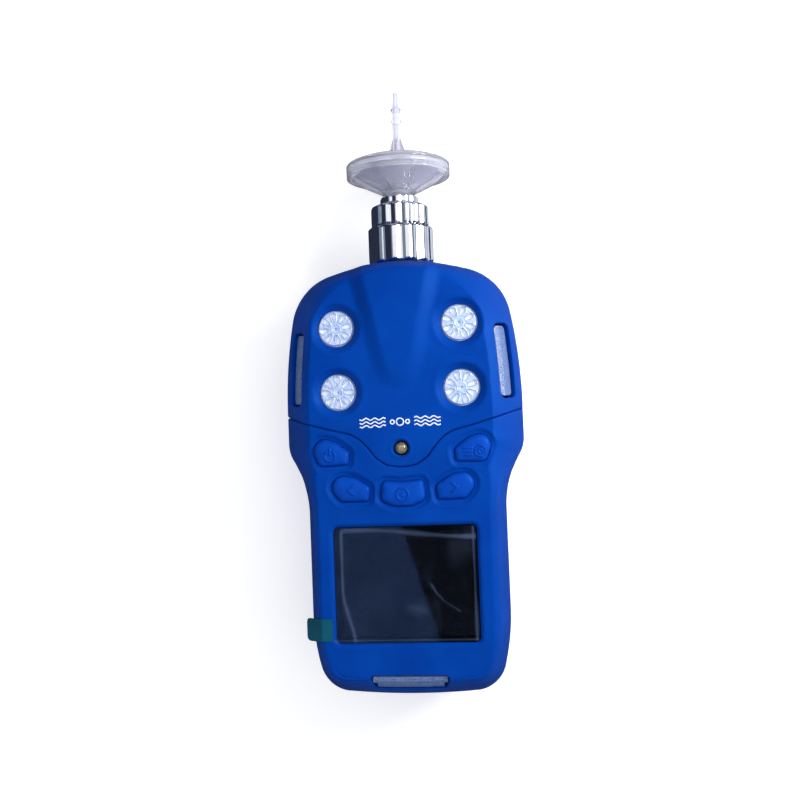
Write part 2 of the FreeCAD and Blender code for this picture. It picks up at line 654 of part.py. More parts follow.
def battery_holder():
    """Cradle under the cells with an end wall at each end."""
    y0 = CELL_Y - 1.4
    y1 = CELL_Y + CELL_LENGTH + 1.4
    tray = box(-20.2, 20.2, y0, y1, FLOOR_Z + 0.1, CELL_Z - 2.0)
    gap = 0.1
    beds = [rod(side * CELL_X, CELL_Z, CELL_Y - gap, CELL_Y + CELL_LENGTH + gap, CELL_R + gap)
            for side in (-1, 1)]
    return tray.cut(Part.makeCompound(beds))


def buzzer():
    x, y = BUZZER_PLACE
    can = post(x, y, 29.6, MAIN_BOARD_Z, 6.0)
    return can.cut(post(x, y, 29.0, 30.4, 1.2))


def vibration_motor():
    x, z = VIBRATOR_AXIS
    body = rod(x, z, -80.0, -68.0, 3.5)
    bracket = box(x - 3, x + 3, -79.0, -70.0, z + 2.3, MAIN_BOARD_Z)
    bore = rod(x, z, -70.0, -67.0, VIBRATOR_SHAFT_R + 0.05)
    return fused([body, bracket]).cut(bore)


def vibration_weight():
    """Half-round weight on the motor's shaft."""
    x, z = VIBRATOR_AXIS
    disc = rod(x, z, -67.0, -63.0, 3.0)
    half = box(x - 4, x + 4, -68.0, -62.0, z - 4.3, z + 0.3)
    shaft = rod(x, z, -69.6, -63.0, VIBRATOR_SHAFT_R)
    return fused([disc.common(half), shaft])


# ---- pump ---------------------------------------------------------------------------------------
def pump_head():
    block = slab(-8.6, 8.6, PUMP_MOTOR_Y[1], PUMP_HEAD_Y, 13.6, 30.0, 1.5)
    inlet = rod(0, INLET_Z, PUMP_HEAD_Y - 0.1, 27.0, BARB_R)
    outlet = post(0, PUMP_OUTLET_Y, 29.9, 34.0, BARB_R)
    head = fused([block, inlet, outlet])
    crank_room = rod(0, PUMP_AXIS_Z, PUMP_MOTOR_Y[1] - 0.1, 15.4, PUMP_MOTOR_R - 0.2)
    bores = [rod(0, INLET_Z, 17.0, 28.0, GAS_BORE_R), post(0, PUMP_OUTLET_Y, 27.0, 35.0, GAS_BORE_R)]
    return head.cut(Part.makeCompound([crank_room] + bores))


def pump_motor():
    can = rod(0, PUMP_AXIS_Z, PUMP_MOTOR_Y[0], PUMP_MOTOR_Y[1], PUMP_MOTOR_R)
    return can.cut(rod(0, PUMP_AXIS_Z, 0.0, PUMP_MOTOR_Y[1] + 1, 1.05))


def pump_crank():
    """Shaft with the off-centre disc that works the diaphragm."""
    shaft = rod(0, PUMP_AXIS_Z, 0.6, 10.6, 1.0)
    disc = rod(0, PUMP_AXIS_Z + 0.8, 10.4, 14.4, 4.0)
    return fused([shaft, disc])


def pump_inlet_tube():
    return rod(0, INLET_Z, 22.3, 34.6, HOSE_R).cut(rod(0, INLET_Z, 22.0, 35.0, BARB_R))


def pump_outlet_tube():
    return post(0, PUMP_OUTLET_Y, 30.4, 41.8, HOSE_R).cut(post(0, PUMP_OUTLET_Y, 30.0, 42.0, BARB_R))


# ---- gas inlet and filter -------------------------------------------------------------------
def fluted(radius, y0, y1, lobes, flute_r, bore_r):
    """Turned ring with round-bottomed flutes cut along its length and bevelled ends."""
    bevel = 0.5
    ring = turned([(bore_r, y0), (radius - bevel, y0), (radius, y0 + bevel), (radius, y1 - bevel),
                   (radius - bevel, y1), (bore_r, y1)])
    reach = radius + flute_r - 0.7
    flutes = []
    for step in range(lobes):
        angle = 2 * math.pi * step / lobes
        flutes.append(rod(reach * math.cos(angle), INLET_Z + reach * math.sin(angle),
                          y0 + 1.2, y1 - 1.2, flute_r))
    return ring.cut(Part.makeCompound(flutes))


def inlet_spigot():
    """Through-wall fitting: hose barb inside, flange, and the stem that the rings turn on."""
    luer = LUER_R + 0.05
    return turned([
        (GAS_BORE_R, 31.0), (BARB_R, 31.0), (BARB_R, 34.8), (7.0, 34.8), (7.0, 36.3), (STEM_R, 36.3),
        (STEM_R, 61.5), (luer, 61.5), (luer, 57.0), (GAS_BORE_R, 57.0),
    ])


def inlet_washer():
    return turned([(STEM_R + 0.05, 39.9), (10.0, 39.9), (10.0, 40.4), (STEM_R + 0.05, 40.4)])


def inlet_nut():
    return fluted(NUT_R, NUT_Y[0], NUT_Y[1], NUT_LOBES, 2.2, STEM_R + STEM_CLEARANCE)


def collet_ring():
    return fluted(RING_R, RING_Y[0], RING_Y[1], RING_LOBES, 1.0, STEM_R + STEM_CLEARANCE)


def filter_socket():
    """Ring pressed on the stem's end, with the tapered seat for the filter."""
    return turned([
        (STEM_R, SOCKET_Y[0]), (SOCKET_R, SOCKET_Y[0]),
        (SOCKET_R, SOCKET_Y[1] - 0.6), (SOCKET_R - 0.6, SOCKET_Y[1]),
        (LUER_R + 0.05, SOCKET_Y[1]), (LUER_R + 0.05, 61.5), (STEM_R, 61.5),
    ])


def filter_base():
    """Lower half of the disc filter: plug, funnel and the rim's lower band."""
    plug_tip = 57.4
    return turned([
        (GAS_BORE_R, plug_tip), (LUER_R, plug_tip), (LUER_R, 64.0), (4.9, 64.2), (5.6, 64.8),
        (15.6, 69.9), (DISC_R, DISC_Y[0]), (DISC_R, 72.2), (15.9, 72.2), (15.5, 71.3), (5.8, 66.3),
        (4.5, 66.0), (4.1, 68.6), (3.2, 68.6), (2.9, 65.8), (GAS_BORE_R, 65.4),
    ])


def filter_membrane():
    return turned([(0, 72.3), (15.5, 72.3), (15.5, 72.6), (0, 72.6)])


def filter_cap():
    """Upper half of the disc filter with its stepped hose nozzle."""
    bore = GAS_BORE_R
    return turned([
        (16.0, 72.25), (DISC_R, 72.25), (DISC_R - 0.1, DISC_Y[1]), (15.9, 75.7), (4.4, 76.3), (3.4, 77.0),
        (1.7, 81.0), (1.35, 82.0), (1.35, 88.0),
        (NOZZLE_R, NOZZLE_Y[0]), (NOZZLE_R, NOZZLE_Y[1]), (1.2, 95.4), (0.95, NOZZLE_END),
        (bore - 0.15, NOZZLE_END), (bore, 90.0), (bore, 78.0), (2.4, 75.4), (15.4, 74.6),
        (16.0, 74.0),
    ])


# ---- belt clip, port cover -----------------------------------------------------------------
def across(y, z, x0, x1, radius):
    """Cylinder along X."""
    return Part.makeCylinder(radius, x1 - x0, V(x0, y, z), X_AXIS)


def clip_bracket():
    """Plate screwed to the back, with an ear each side for the pin."""
    y, z = CLIP_PIVOT
    plate = slab(-10.6, 10.6, y - 12.0, y + 12.0, BACK_Z - CLIP_PLATE, BACK_Z, 2.0)
    solids = [plate]
    for side in (-1, 1):
        x0 = 9.4 if side > 0 else -10.6
        ear = box(x0, x0 + CLIP_PLATE, y - 3.0, y + 3.0, z, BACK_Z - 0.1)
        solids += [ear, across(y, z, x0, x0 + CLIP_PLATE, 3.0)]
    cuts = [across(y, z, -12, 12, PIN_R)]
    cuts += [post(x, yy, 0, BACK_Z + 1, SCREW_R + 0.1) for x, yy in mirrored_pairs(CLIP_SCREWS)]
    return fused(solids).cut(Part.makeCompound(cuts))


def belt_clip():
    """Sprung arm: a flat leaf, a hooked tip that meets the case, a thumb lever and two cheeks."""
    y, z = CLIP_PIVOT
    t = CLIP_PLATE
    profile = [
        (y + 14.0, 1.6), (y + 9.0, 0.0), (CLIP_TIP_Y + 6.5, 0.0), (CLIP_TIP_Y, 7.4), (CLIP_TIP_Y - 2.2, 6.6),
        (CLIP_TIP_Y - 3.0, 7.5), (CLIP_TIP_Y + 0.3, 8.8), (CLIP_TIP_Y + 7.2, t),
        (y + 8.6, t), (y + 13.6, 1.6 + t),
    ]
    points = [V(-CLIP_HALF_WIDTH, py, pz) for py, pz in profile]
    leaf = Part.Face(Part.makePolygon(points + points[:1])).extrude(V(2 * CLIP_HALF_WIDTH, 0, 0))
    solids = [leaf]
    for x0 in (-CLIP_HALF_WIDTH, CLIP_HALF_WIDTH - t):
        solids.append(box(x0, x0 + t, y - 3.2, y + 3.2, 0.4, z))
        solids.append(across(y, z, x0, x0 + t, 2.6))
    return fused(solids).cut(across(y, z, -12, 12, PIN_R + PIN_CLEARANCE))


def clip_pin():
    y, z = CLIP_PIVOT
    return across(y, z, -10.9, 10.9, PIN_R)


def clip_spring():
    """Torsion spring round the pin with its two legs."""
    y, z = CLIP_PIVOT
    coil_r = 1.95
    wire_r = 0.4
    pitch = 0.95
    turns = 7
    helix = Part.makeHelix(pitch, pitch * turns, coil_r)
    section = Part.Wire(Part.Circle(V(coil_r, 0, 0), Y_AXIS, wire_r).toShape())
    coil = Part.Wire(helix).makePipeShell([section], True, True)
    coil.rotate(V(0, 0, 0), Y_AXIS, 90)
    coil.translate(V(-pitch * turns / 2, y, z))
    return coil


def port_cover():
    """Rubber flap with a rounded hinge edge and a small plug for the socket's mouth."""
    outer_y = 0.25 - CASE_END
    hinge_y = outer_y + FLAP_THICK / 2
    hinge_z = FLAP_Z[0] + FLAP_THICK / 2
    flap = box(-FLAP_HALF_WIDTH, FLAP_HALF_WIDTH, outer_y, outer_y + FLAP_THICK, hinge_z, FLAP_Z[1])
    edge = across(hinge_y, hinge_z, -FLAP_HALF_WIDTH, FLAP_HALF_WIDTH, FLAP_THICK / 2)
    plug = box(-4.0, 4.0, outer_y + FLAP_THICK - 0.1, outer_y + FLAP_THICK + 0.7, PORT_Z - 0.9, PORT_Z + 0.9)
    return fused([flap, edge, plug])


# ---- screws ---------------------------------------------------------------------------------
def pan_screw(x, y, head_z, head_h, tip_z, head_r):
    """Screw along Z; the head is on the far side of head_z from the tip."""
    up = 1 if tip_z > head_z else -1
    head_low = head_z - head_h if up > 0 else head_z
    head = post(x, y, head_low, head_low + head_h, head_r)
    shank = post(x, y, min(head_z - 0.1 * up, tip_z), max(head_z - 0.1 * up, tip_z), SCREW_R)
    socket_low = head_low if up > 0 else head_low + head_h - 0.6
    return head.fuse(shank).cut(post(x, y, socket_low, socket_low + 0.6, 0.7))


def case_screws():
    seat_z, tip_z = CASE_SCREW_Z
    return Part.makeCompound([pan_screw(x, y, seat_z, 1.4, tip_z, CASE_WELL_R - 0.1)
                              for x, y in mirrored_pairs(CASE_SCREWS)])


def board_screws():
    screws = [pan_screw(x, y, MAIN_BOARD_Z, 1.2, 40.4, 1.7) for x, y in mirrored_pairs(MAIN_BOARD_SCREWS)]
    screws += [pan_screw(x, y, SENSOR_BOARD_TOP, 1.2, 18.4, 1.7)
               for x, y in mirrored_pairs(SENSOR_BOARD_SCREWS)]
    return Part.makeCompound(screws)


def clip_screws():
    return Part.makeCompound([pan_screw(x, y, BACK_Z - CLIP_PLATE, 1.3, 12.4, 1.9)
                              for x, y in mirrored_pairs(CLIP_SCREWS)])


# ---- write every node -----------------------------------------------------------------------
def all_parts():
    parts = {
        "front_cover": front_cover(), "sensor_cover": sensor_cover(), "rear_cover": rear_cover(),
        "case_gasket": case_gasket(), "sensor_membranes": sensor_membranes(), "alarm_leds": alarm_leds(),
        "status_led": status_led(), "side_light_left": light_window(-1), "side_light_right": light_window(1),
        "bottom_light": bottom_light(), "keypad_mat": keypad_mat(), "key_switches": key_switches(),
        "screen_window": screen_window(), "screen_film": screen_film(), "film_tab": film_tab(),
        "lcd_module": lcd_module(), "lcd_frame": lcd_frame(), "main_board": main_board(),
        "sensor_board": sensor_board(), "charge_board": charge_board(), "charge_socket": charge_socket(),
        "battery_cells": battery_cells(), "battery_holder": battery_holder(), "buzzer": buzzer(),
        "vibration_motor": vibration_motor(), "vibration_weight": vibration_weight(), "pump_head": pump_head(),
        "pump_motor": pump_motor(), "pump_crank": pump_crank(), "pump_inlet_tube": pump_inlet_tube(),
        "pump_outlet_tube": pump_outlet_tube(), "inlet_spigot": inlet_spigot(), "inlet_washer": inlet_washer(),
        "inlet_nut": inlet_nut(), "collet_ring": collet_ring(), "filter_socket": filter_socket(),
        "filter_base": filter_base(), "filter_membrane": filter_membrane(), "filter_cap": filter_cap(),
        "clip_bracket": clip_bracket(), "belt_clip": belt_clip(), "clip_pin": clip_pin(),
        "clip_spring": clip_spring(), "port_cover": port_cover(), "case_screws": case_screws(),
        "board_screws": board_screws(), "clip_screws": clip_screws(),
    }
    for key in KEYS:
        parts[key[0]] = key_cap(key)
    for number, (x, y) in enumerate(sensor_places(), start=1):
        parts["sensor_grille_%d" % number] = sensor_grille(x, y)
        parts["gas_sensor_%d" % number] = gas_sensor(x, y)
    return parts


os.makedirs("parts", exist_ok=True)
for node, shape in all_parts().items():
    shape.exportStep("parts/%s.step" % node)
    print(node, "valid" if shape.isValid() else "NOT VALID", len(shape.Solids), round(shape.Volume, 1))
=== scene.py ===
import cmath
import json
import math

import bmesh
import bpy
import numpy as np
import openvdb as vdb
from mathutils import Matrix, Vector


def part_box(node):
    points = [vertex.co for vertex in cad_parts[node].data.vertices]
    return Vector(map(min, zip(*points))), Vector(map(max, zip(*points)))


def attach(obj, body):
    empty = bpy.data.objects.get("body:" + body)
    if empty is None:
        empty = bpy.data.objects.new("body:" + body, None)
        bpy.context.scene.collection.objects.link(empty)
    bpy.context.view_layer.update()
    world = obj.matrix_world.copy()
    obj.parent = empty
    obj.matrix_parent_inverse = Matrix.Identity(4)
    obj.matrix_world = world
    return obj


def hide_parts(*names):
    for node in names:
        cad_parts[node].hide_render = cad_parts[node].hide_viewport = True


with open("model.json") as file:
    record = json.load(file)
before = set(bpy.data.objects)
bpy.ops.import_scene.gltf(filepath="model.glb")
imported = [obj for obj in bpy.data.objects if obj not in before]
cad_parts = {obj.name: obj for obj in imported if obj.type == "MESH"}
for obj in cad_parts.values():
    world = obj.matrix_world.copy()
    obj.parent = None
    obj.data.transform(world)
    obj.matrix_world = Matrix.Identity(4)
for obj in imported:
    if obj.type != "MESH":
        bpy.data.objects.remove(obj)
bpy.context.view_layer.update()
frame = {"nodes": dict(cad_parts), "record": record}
MM = 0.001
FULL_TURN = 2 * math.pi
RECORD = frame["record"]
SLOT_OF = {part["node"]: part["material_slot"] for part in RECORD["subparts"]}
BODY_OF = {node: body for body, nodes in RECORD["behaviour"]["bodies"].items() for node in nodes}


def node_box(node):
    """Lowest and highest corner of a CAD node in millimetres."""
    low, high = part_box(node)
    return np.array(low) / MM, np.array(high) / MM


def node_middle(node):
    low, high = node_box(node)
    return (low + high) / 2


# Driving dimensions in millimetres, worked out from the frame
COVER_LOW, COVER_HIGH = node_box("front_cover")
REAR_LOW, REAR_HIGH = node_box("rear_cover")
WINDOW_LOW, WINDOW_HIGH = node_box("screen_window")
TAB_LOW, TAB_HIGH = node_box("film_tab")
PORT_LOW, PORT_HIGH = node_box("port_cover")
WINDOW_CENTRE = (WINDOW_LOW + WINDOW_HIGH) / 2
WINDOW_HALF = (WINDOW_HIGH - WINDOW_LOW) / 2
PORT_CENTRE = (PORT_LOW + PORT_HIGH) / 2
PORT_HALF = (PORT_HIGH - PORT_LOW) / 2
SOCKET_Z = node_middle("charge_socket")[2]
INLET_Z = node_middle("inlet_nut")[2]
SCREW_SEAT_Z = node_box("case_screws")[0][2] + 1.4
SENSORS = [node_middle("sensor_grille_%d" % n)[:2] for n in (1, 2, 3, 4)]
STATUS_AT = node_middle("status_led")[:2]
FRONT_Z = COVER_HIGH[2]
PARTING_Z = COVER_LOW[2]
BACK_Z = REAR_LOW[2]
HALF_WIDTH = REAR_HIGH[0]
BOTTOM_Y = REAR_LOW[1]
WALL = 2.2
CEILING = 2.5
WIDEST_Z = PARTING_Z + 3.0
BEVEL_DEPTH = FRONT_Z - WIDEST_Z
HEEL_HEIGHT = 5.0
SEAM_GAP = 0.08
EDGE_ROUND = 0.75
GRILLE_R = 5.75
CASE_SCREWS = ((23.0, -90.0), (33.0, -20.0), (27.9, 28.8))
BOSS_R = 2.6
# Mesh spacing: the two front shells, the rear shell and the keys
SHELL_VOXEL = 0.4
REAR_VOXEL = 0.65
FINE_VOXEL = 0.17

# Half outline of the case at its widest, from the top centre round to the bottom centre
OUTLINE = (
    ("arc", 0.0, 39.8), ("knot", 22.0, 36.6), ("arc", 31.0, 31.6), ("knot", 36.0, 22.5), ("arc", 38.2, 7.0),
    ("knot", 38.87, -10.0), ("knot", 38.87, -19.0), ("arc", 38.3, -22.4), ("knot", 36.9, -25.2),
    ("knot", 34.6, -29.8), ("arc", 33.0, -35.2), ("knot", 32.3, -42.0), ("knot", 32.3, -74.0),
    ("arc", 31.8, -82.6), ("knot", 30.3, -91.0), ("arc", 27.2, -97.1), ("knot", 21.5, -100.0),
    ("arc", 0.0, -101.0),
)
# Seam between the head and the front cover: x and y from the centre line outwards
SEAM = ((0.0, -27.4), (4.8, -26.7), (8.4, -24.2), (10.6, -21.2), (13.2, -18.3), (16.6, -16.3), (24.0, -14.5),
        (32.0, -12.2), (38.0, -10.2), (45.0, -8.0))

# Keys: circles (x, y, radius) whose hull is the key's outline. The left-hand keys mirror the right ones.
KEY_CIRCLES = {
    "button_light": ((24.9, -21.3, 3.6), (25.2, -24.2, 2.3), (18.4, -24.9, 1.3), (18.6, -22.8, 1.7),
                     (22.6, -21.6, 3.2)),
    "button_right": ((19.3, -33.2, 3.6), (18.9, -35.6, 2.4), (12.2, -36.8, 1.3), (12.2, -34.2, 1.7),
                     (16.9, -33.0, 3.1)),
    "button_ok": ((-4.7, -33.4, 2.2), (4.7, -33.4, 2.2), (-4.6, -36.3, 2.6), (4.6, -36.3, 2.6),
                  (-2.2, -37.3, 2.6), (2.2, -37.3, 2.6)),
}
MIRRORED_KEYS = {"button_power": "button_light", "button_left": "button_right"}
# Where each key's symbol stands, from the key's middle
ICON_OFFSET = {"button_power": (0.2, -0.6), "button_light": (1.0, -0.9), "button_left": (0.5, -0.4),
               "button_right": (-0.5, -0.4), "button_ok": (0.0, -0.3)}
KEY_NAMES = tuple(ICON_OFFSET)
KEY_GAP = 0.07
MOAT_DEPTH = 0.62

# Alarm windows: half sizes, corner and tilt of the bars that lie on the bevels
SIDE_LIGHT = {"half": (2.6, 11.3), "corner": 1.3, "tilt": math.radians(46.0), "lean": math.radians(3.2)}
SIDE_LIGHT_GAP = 0.7
BOTTOM_LIGHT = {"half": (12.0, 2.2), "tilt": math.radians(42.0), "step": 1.3}
BOTTOM_LIGHT_GAP = 0.7
LIGHT_SUNK = 0.55
LIGHT_THICK = 1.8


# Curves and shapes in the plane
def arc_points(a, b, c, count):
    """Points on the circle through a, b and c, without c."""
    start, middle, end = (complex(*point) for point in (a, b, c))
    ratio = (end - start) / (middle - start)
    centre = start + (middle - start) * (ratio - abs(ratio) ** 2) / (2j * ratio.imag)
    arm = start - centre
    turn = cmath.phase((end - centre) / arm) % FULL_TURN
    if cmath.phase((middle - centre) / arm) % FULL_TURN > turn:
        turn -= FULL_TURN
    points = [centre + arm * cmath.exp(1j * turn * k / count) for k in range(count)]
    return [(point.real, point.imag) for point in points]


def case_outline():
    """Closed polyline of the case at its widest."""
    side = OUTLINE[1:-1]
    left = [(kind, -x, y) for kind, x, y in reversed(side)]
    loop = list(side) + [OUTLINE[-1]] + left + [OUTLINE[0], side[0]]
    points = []
    step = 0
    while step < len(loop) - 1:
        here = loop[step][1:]
        if loop[step + 1][0] == "arc":
            points += arc_points(here, loop[step + 1][1:], loop[step + 2][1:], 24)
            step += 2
        else:
            points.append(here)
            step += 1
    return np.array(points)


def stroke(x, y, points):
    """Distance from a polyline."""
    best = np.full(x.shape, 1e9)
    for (ax, ay), (bx, by) in zip(points, points[1:]):
        ex, ey = bx - ax, by - ay
        along = np.clip(((x - ax) * ex + (y - ay) * ey) / max(ex * ex + ey * ey, 1e-12), 0, 1)
        best = np.minimum(best, np.hypot(x - ax - ex * along, y - ay - ey * along))
    return best


def circle_points(cx, cy, radius, start=0.0, end=FULL_TURN, count=25):
    return [(cx + radius * math.cos(a), cy + radius * math.sin(a)) for a in np.linspace(start, end, count)]


def polygon_distance(x, y, polygon):
    """Distance from a closed polyline, negative inside it."""
    loop = np.append(polygon, polygon[:1], axis=0)
    inside = np.zeros(x.shape, bool)
    for (ax, ay), (bx, by) in zip(loop, loop[1:]):
        if ay != by:
            inside ^= ((ay > y) != (by > y)) & (x < ax + (bx - ax) * (y - ay) / (by - ay))
    distance = stroke(x, y, loop)
    return np.where(inside, -distance, distance)


def rounded_box(x, y, half_x, half_y, corner):
    """Distance outside a rectangle with rounded corners."""
    dx = np.abs(x) - half_x + corner
    dy = np.abs(y) - half_y + corner
    return np.hypot(np.maximum(dx, 0), np.maximum(dy, 0)) + np.minimum(np.maximum(dx, dy), 0) - corner


def hull(circles):
    """Closed polyline round a set of circles."""
    angles = np.linspace(0, FULL_TURN, 64, endpoint=False)
    points = sorted((cx + r * math.cos(a), cy + r * math.sin(a)) for cx, cy, r in circles for a in angles)
    halves = []
    for run in (points, points[::-1]):
        half = []
        for p in run:
            while len(half) > 1:
                (ax, ay), (bx, by) = half[-2:]
                if (bx - ax) * (p[1] - ay) - (by - ay) * (p[0] - ax) > 0:
                    break
                half.pop()
            half.append(p)
        halves += half[:-1]
    return np.array(halves)


class Map:
    """A smooth function of x and y, sampled once on a fine grid and then read between the samples."""

    def __init__(self, function, low, high, step):
        self.low = low
        self.step = step
        xs, ys = (low[k] + step * np.arange(math.ceil((high[k] - low[k]) / step) + 2) for k in (0, 1))
        self.values = function(*np.meshgrid(xs, ys, indexing="ij"))

    def __call__(self, x, y):
        u = np.clip((x - self.low[0]) / self.step, 0, self.values.shape[0] - 1.001)
        v = np.clip((y - self.low[1]) / self.step, 0, self.values.shape[1] - 1.001)
        i = u.astype(int)
        j = v.astype(int)
        u -= i
        v -= j
        w = self.values
        near = w[i, j] * (1 - u) + w[i + 1, j] * u
        far = w[i, j + 1] * (1 - u) + w[i + 1, j + 1] * u
        return near * (1 - v) + far * v


def smooth_max(a, b, radius):
    """Larger of two distances, with the corner between them rounded."""
    h = np.maximum(radius - np.abs(a - b), 0) / radius
    return np.maximum(a, b) + h * h * radius / 4


def smooth_min(a, b, radius):
    return -smooth_max(-a, -b, radius)


def ramp(value, low, high):
    """0 below low, 1 above high, smooth between."""
    t = np.clip((value - low) / (high - low), 0, 1)
    return t * t * (3 - 2 * t)


def bell(value, width):
    """1 where a value is nothing, and falling away over a width on both sides."""
    return np.exp(-(value / width) ** 2)


# Meshing
def gradient(field, points, step):
    """Slope of a field at each point."""
    return np.stack([(field(points + d) - field(points - d)) / (2 * step) for d in step * np.eye(3)], axis=1)


def mesh_from_field(name, field, low, high, voxel):
    """Mesh of the surface where a field is zero. Vertices are moved onto it, and shade by its slope."""
    low = low - 2 * voxel
    count = np.ceil((high - low) / voxel).astype(int) + 3
    axes = [low[k] + voxel * np.arange(count[k]) for k in range(3)]
    values = np.empty(count, np.float32)
    plane = np.stack(np.meshgrid(axes[0], axes[1], [0.0], indexing="ij"), axis=-1).reshape(-1, 3)
    for k in range(count[2]):
        plane[:, 2] = axes[2][k]
        values[:, :, k] = field(plane).reshape(count[0], count[1])
    grid = vdb.FloatGrid(background=float(3 * voxel))
    grid.copyFromArray(np.clip(values, -3 * voxel, 3 * voxel), tolerance=0)
    points, triangles, quads = grid.convertToPolygons(isovalue=0.0, adaptivity=0.0)
    points = points.astype(float) * voxel + low
    for _ in range(3):
        slope = gradient(field, points, 0.02)
        size = np.maximum((slope ** 2).sum(axis=1), 0.05)
        move = slope * (field(points) / size)[:, None]
        length = np.linalg.norm(move, axis=1)
        move *= np.minimum(1, 0.6 * voxel / np.maximum(length, 1e-9))[:, None]
        points -= move
    slope = gradient(field, points, 0.05)
    normals = slope / np.maximum(np.linalg.norm(slope, axis=1), 1e-9)[:, None]
    mesh = smooth_mesh(name, points, [tuple(f) for f in quads] + [tuple(f) for f in triangles])
    if signed_volume(mesh) < 0:
        mesh.flip_normals()
    mesh.normals_split_custom_set_from_vertices(normals.tolist())
    return add(mesh)


def smooth_mesh(name, points, faces):
    """Smooth-shaded mesh from points in millimetres."""
    mesh = bpy.data.meshes.new(name)
    mesh.from_pydata((np.array(points) * MM).tolist(), [], faces)
    mesh.update()
    mesh.polygons.foreach_set("use_smooth", [True] * len(mesh.polygons))
    return mesh


def signed_volume(mesh):
    work = bmesh.new()
    work.from_mesh(mesh)
    volume = work.calc_volume(signed=True)
    work.free()
    return volume


def add(mesh):
    piece = bpy.data.objects.new(mesh.name, mesh)
    bpy.context.scene.collection.objects.link(piece)
    return piece


# The case
OUTLINE_POINTS = case_outline()
MAP_LOW = (-HALF_WIDTH - 4, BOTTOM_Y - 4)
MAP_HIGH = (HALF_WIDTH + 4, REAR_HIGH[1] + 4)
edge_distance = Map(lambda x, y: -polygon_distance(x, y, OUTLINE_POINTS), MAP_LOW, MAP_HIGH, 0.25)


def smooth_seam():
    """Seam line resampled finely, with its bends rounded."""
    spacing = 0.05
    reach = 30
    xs = np.arange(0, 45, spacing)
    mirrored = np.concatenate([-xs[:0:-1], xs])
    ys = np.interp(np.abs(mirrored), *zip(*SEAM))
    window = np.hanning(2 * reach + 1)
    ys = np.convolve(np.pad(ys, reach, mode="edge"), window / window.sum(), mode="valid")
    return xs, ys[mirrored >= 0]


SEAM_XS, SEAM_YS = smooth_seam()
SEAM_SLOPE = np.gradient(SEAM_YS, SEAM_XS)


def seam_distance(x, y):
    """Distance from the seam, positive on the head's side."""
    slope = np.interp(np.abs(x), SEAM_XS, SEAM_SLOPE)
    return (y - np.interp(np.abs(x), SEAM_XS, SEAM_YS)) / np.sqrt(1 + slope ** 2)


def bevel_width(x, y):
    """How far the front bevel reaches in from the outline."""
    side = 5.2 + 4.3 * ramp(y, -36.0, -20.0)
    end = 4.8 + 2.0 * ramp(-y, 60.0, 80.0)
    toward_end = np.maximum(ramp(y, 20.0, 36.0), ramp(-y, 88.0, 97.0))
    across = ramp(np.abs(x), 14.0, 34.0)
    return side * (1 - toward_end * (1 - across)) + end * toward_end * (1 - across)


def bevel_shape(x, y):
    """Exponent of the bevel's section: 1 is a flat bevel, 2 an ellipse."""
    return 1.75 - 0.5 * ramp(y, -36.0, -20.0) * (1 - ramp(y, 24.0, 38.0)) - 0.25 * ramp(-y, 88.0, 96.0)


def hump_height(x, y):
    """Ridge down the middle of the head, widest and highest at the inlet end."""
    tip = 6.0
    slope_width = 5.4
    along = ramp(y, -2.0, 30.0)
    half = 6.3 + 7.6 * np.clip((y - 4.0) / 34.0, 0, 1.1)
    reach = np.where(y < tip, np.hypot(x, np.minimum(y - tip, 0)), np.abs(x))
    side = 1 - ramp(reach, half - slope_width * 0.7, half + slope_width * 0.5)
    crown = 0.3 * np.clip(1 - (x / 14.0) ** 2, 0, 1)
    return side * (0.75 + 1.5 * along + crown)


def key_outline_map(key):
    """Distance outside a right-hand or middle key, as a map."""
    outline = hull(KEY_CIRCLES[key])
    scoop_r = 18.0
    scoop_low = -31.9

    def distance(x, y):
        value = polygon_distance(x, y, outline)
        if key == "button_ok":
            value = smooth_max(value, scoop_r - np.hypot(x, y - scoop_low - scoop_r), 1.2)
        return value

    return Map(distance, outline.min(axis=0) - 5, outline.max(axis=0) + 5, 0.1)


KEY_MAPS = {key: key_outline_map(key) for key in KEY_CIRCLES}


def key_distance(key, x, y):
    if key in MIRRORED_KEYS:
        return KEY_MAPS[MIRRORED_KEYS[key]](-x, y)
    return KEY_MAPS[key](x, y)


def nearest_key(x, y):
    return np.minimum.reduce([key_distance(key, x, y) for key in KEY_NAMES])


def window_distance(x, y):
    return rounded_box(x - WINDOW_CENTRE[0], y - WINDOW_CENTRE[1], WINDOW_HALF[0], WINDOW_HALF[1], 1.5)


def dip(distance, depth, start, end, rim, rim_at, rim_width):
    """Depression with a soft slope from start to end, and a low raised rim round it."""
    return rim * bell(distance - rim_at, rim_width) - depth * (1 - ramp(distance, start, end))


def front_relief(x, y):
    """Height of the front face over its flat: the hump, and the dips round what is set into it."""
    relief = hump_height(x, y)
    for sx, sy in SENSORS:
        relief = relief + dip(np.hypot(x - sx, y - sy), 1.45, 5.9, 8.3, 0.10, 8.9, 0.8)
    relief = relief + dip(np.hypot(x - STATUS_AT[0], y - STATUS_AT[1]), 1.0, 2.1, 3.0, 0.12, 3.3, 0.4)
    relief = relief + dip(nearest_key(x, y), MOAT_DEPTH, 0.4, 1.9, 0.10, 2.2, 0.5)
    return relief + dip(window_distance(x, y), 0.7, -0.1, 1.2, 0.06, 1.9, 0.5)


relief_map = Map(front_relief, MAP_LOW, MAP_HIGH, 0.15)


def superellipse(inset, height, width, depth, power):
    """Roughly the distance outside a bevelled edge."""
    u = np.maximum(1 - inset / width, 0)
    v = np.maximum(height / depth, 0)
    radius = (u ** power + v ** power) ** (1 / power)
    slope = np.sqrt((u / width) ** 2 + (v / depth) ** 2) / np.maximum(np.sqrt(u * u + v * v), 1e-6)
    outside = (radius - 1) / np.maximum(slope, 1 / depth)
    return np.where(u <= 0, height - depth, np.where(height <= 0, -inset, outside))


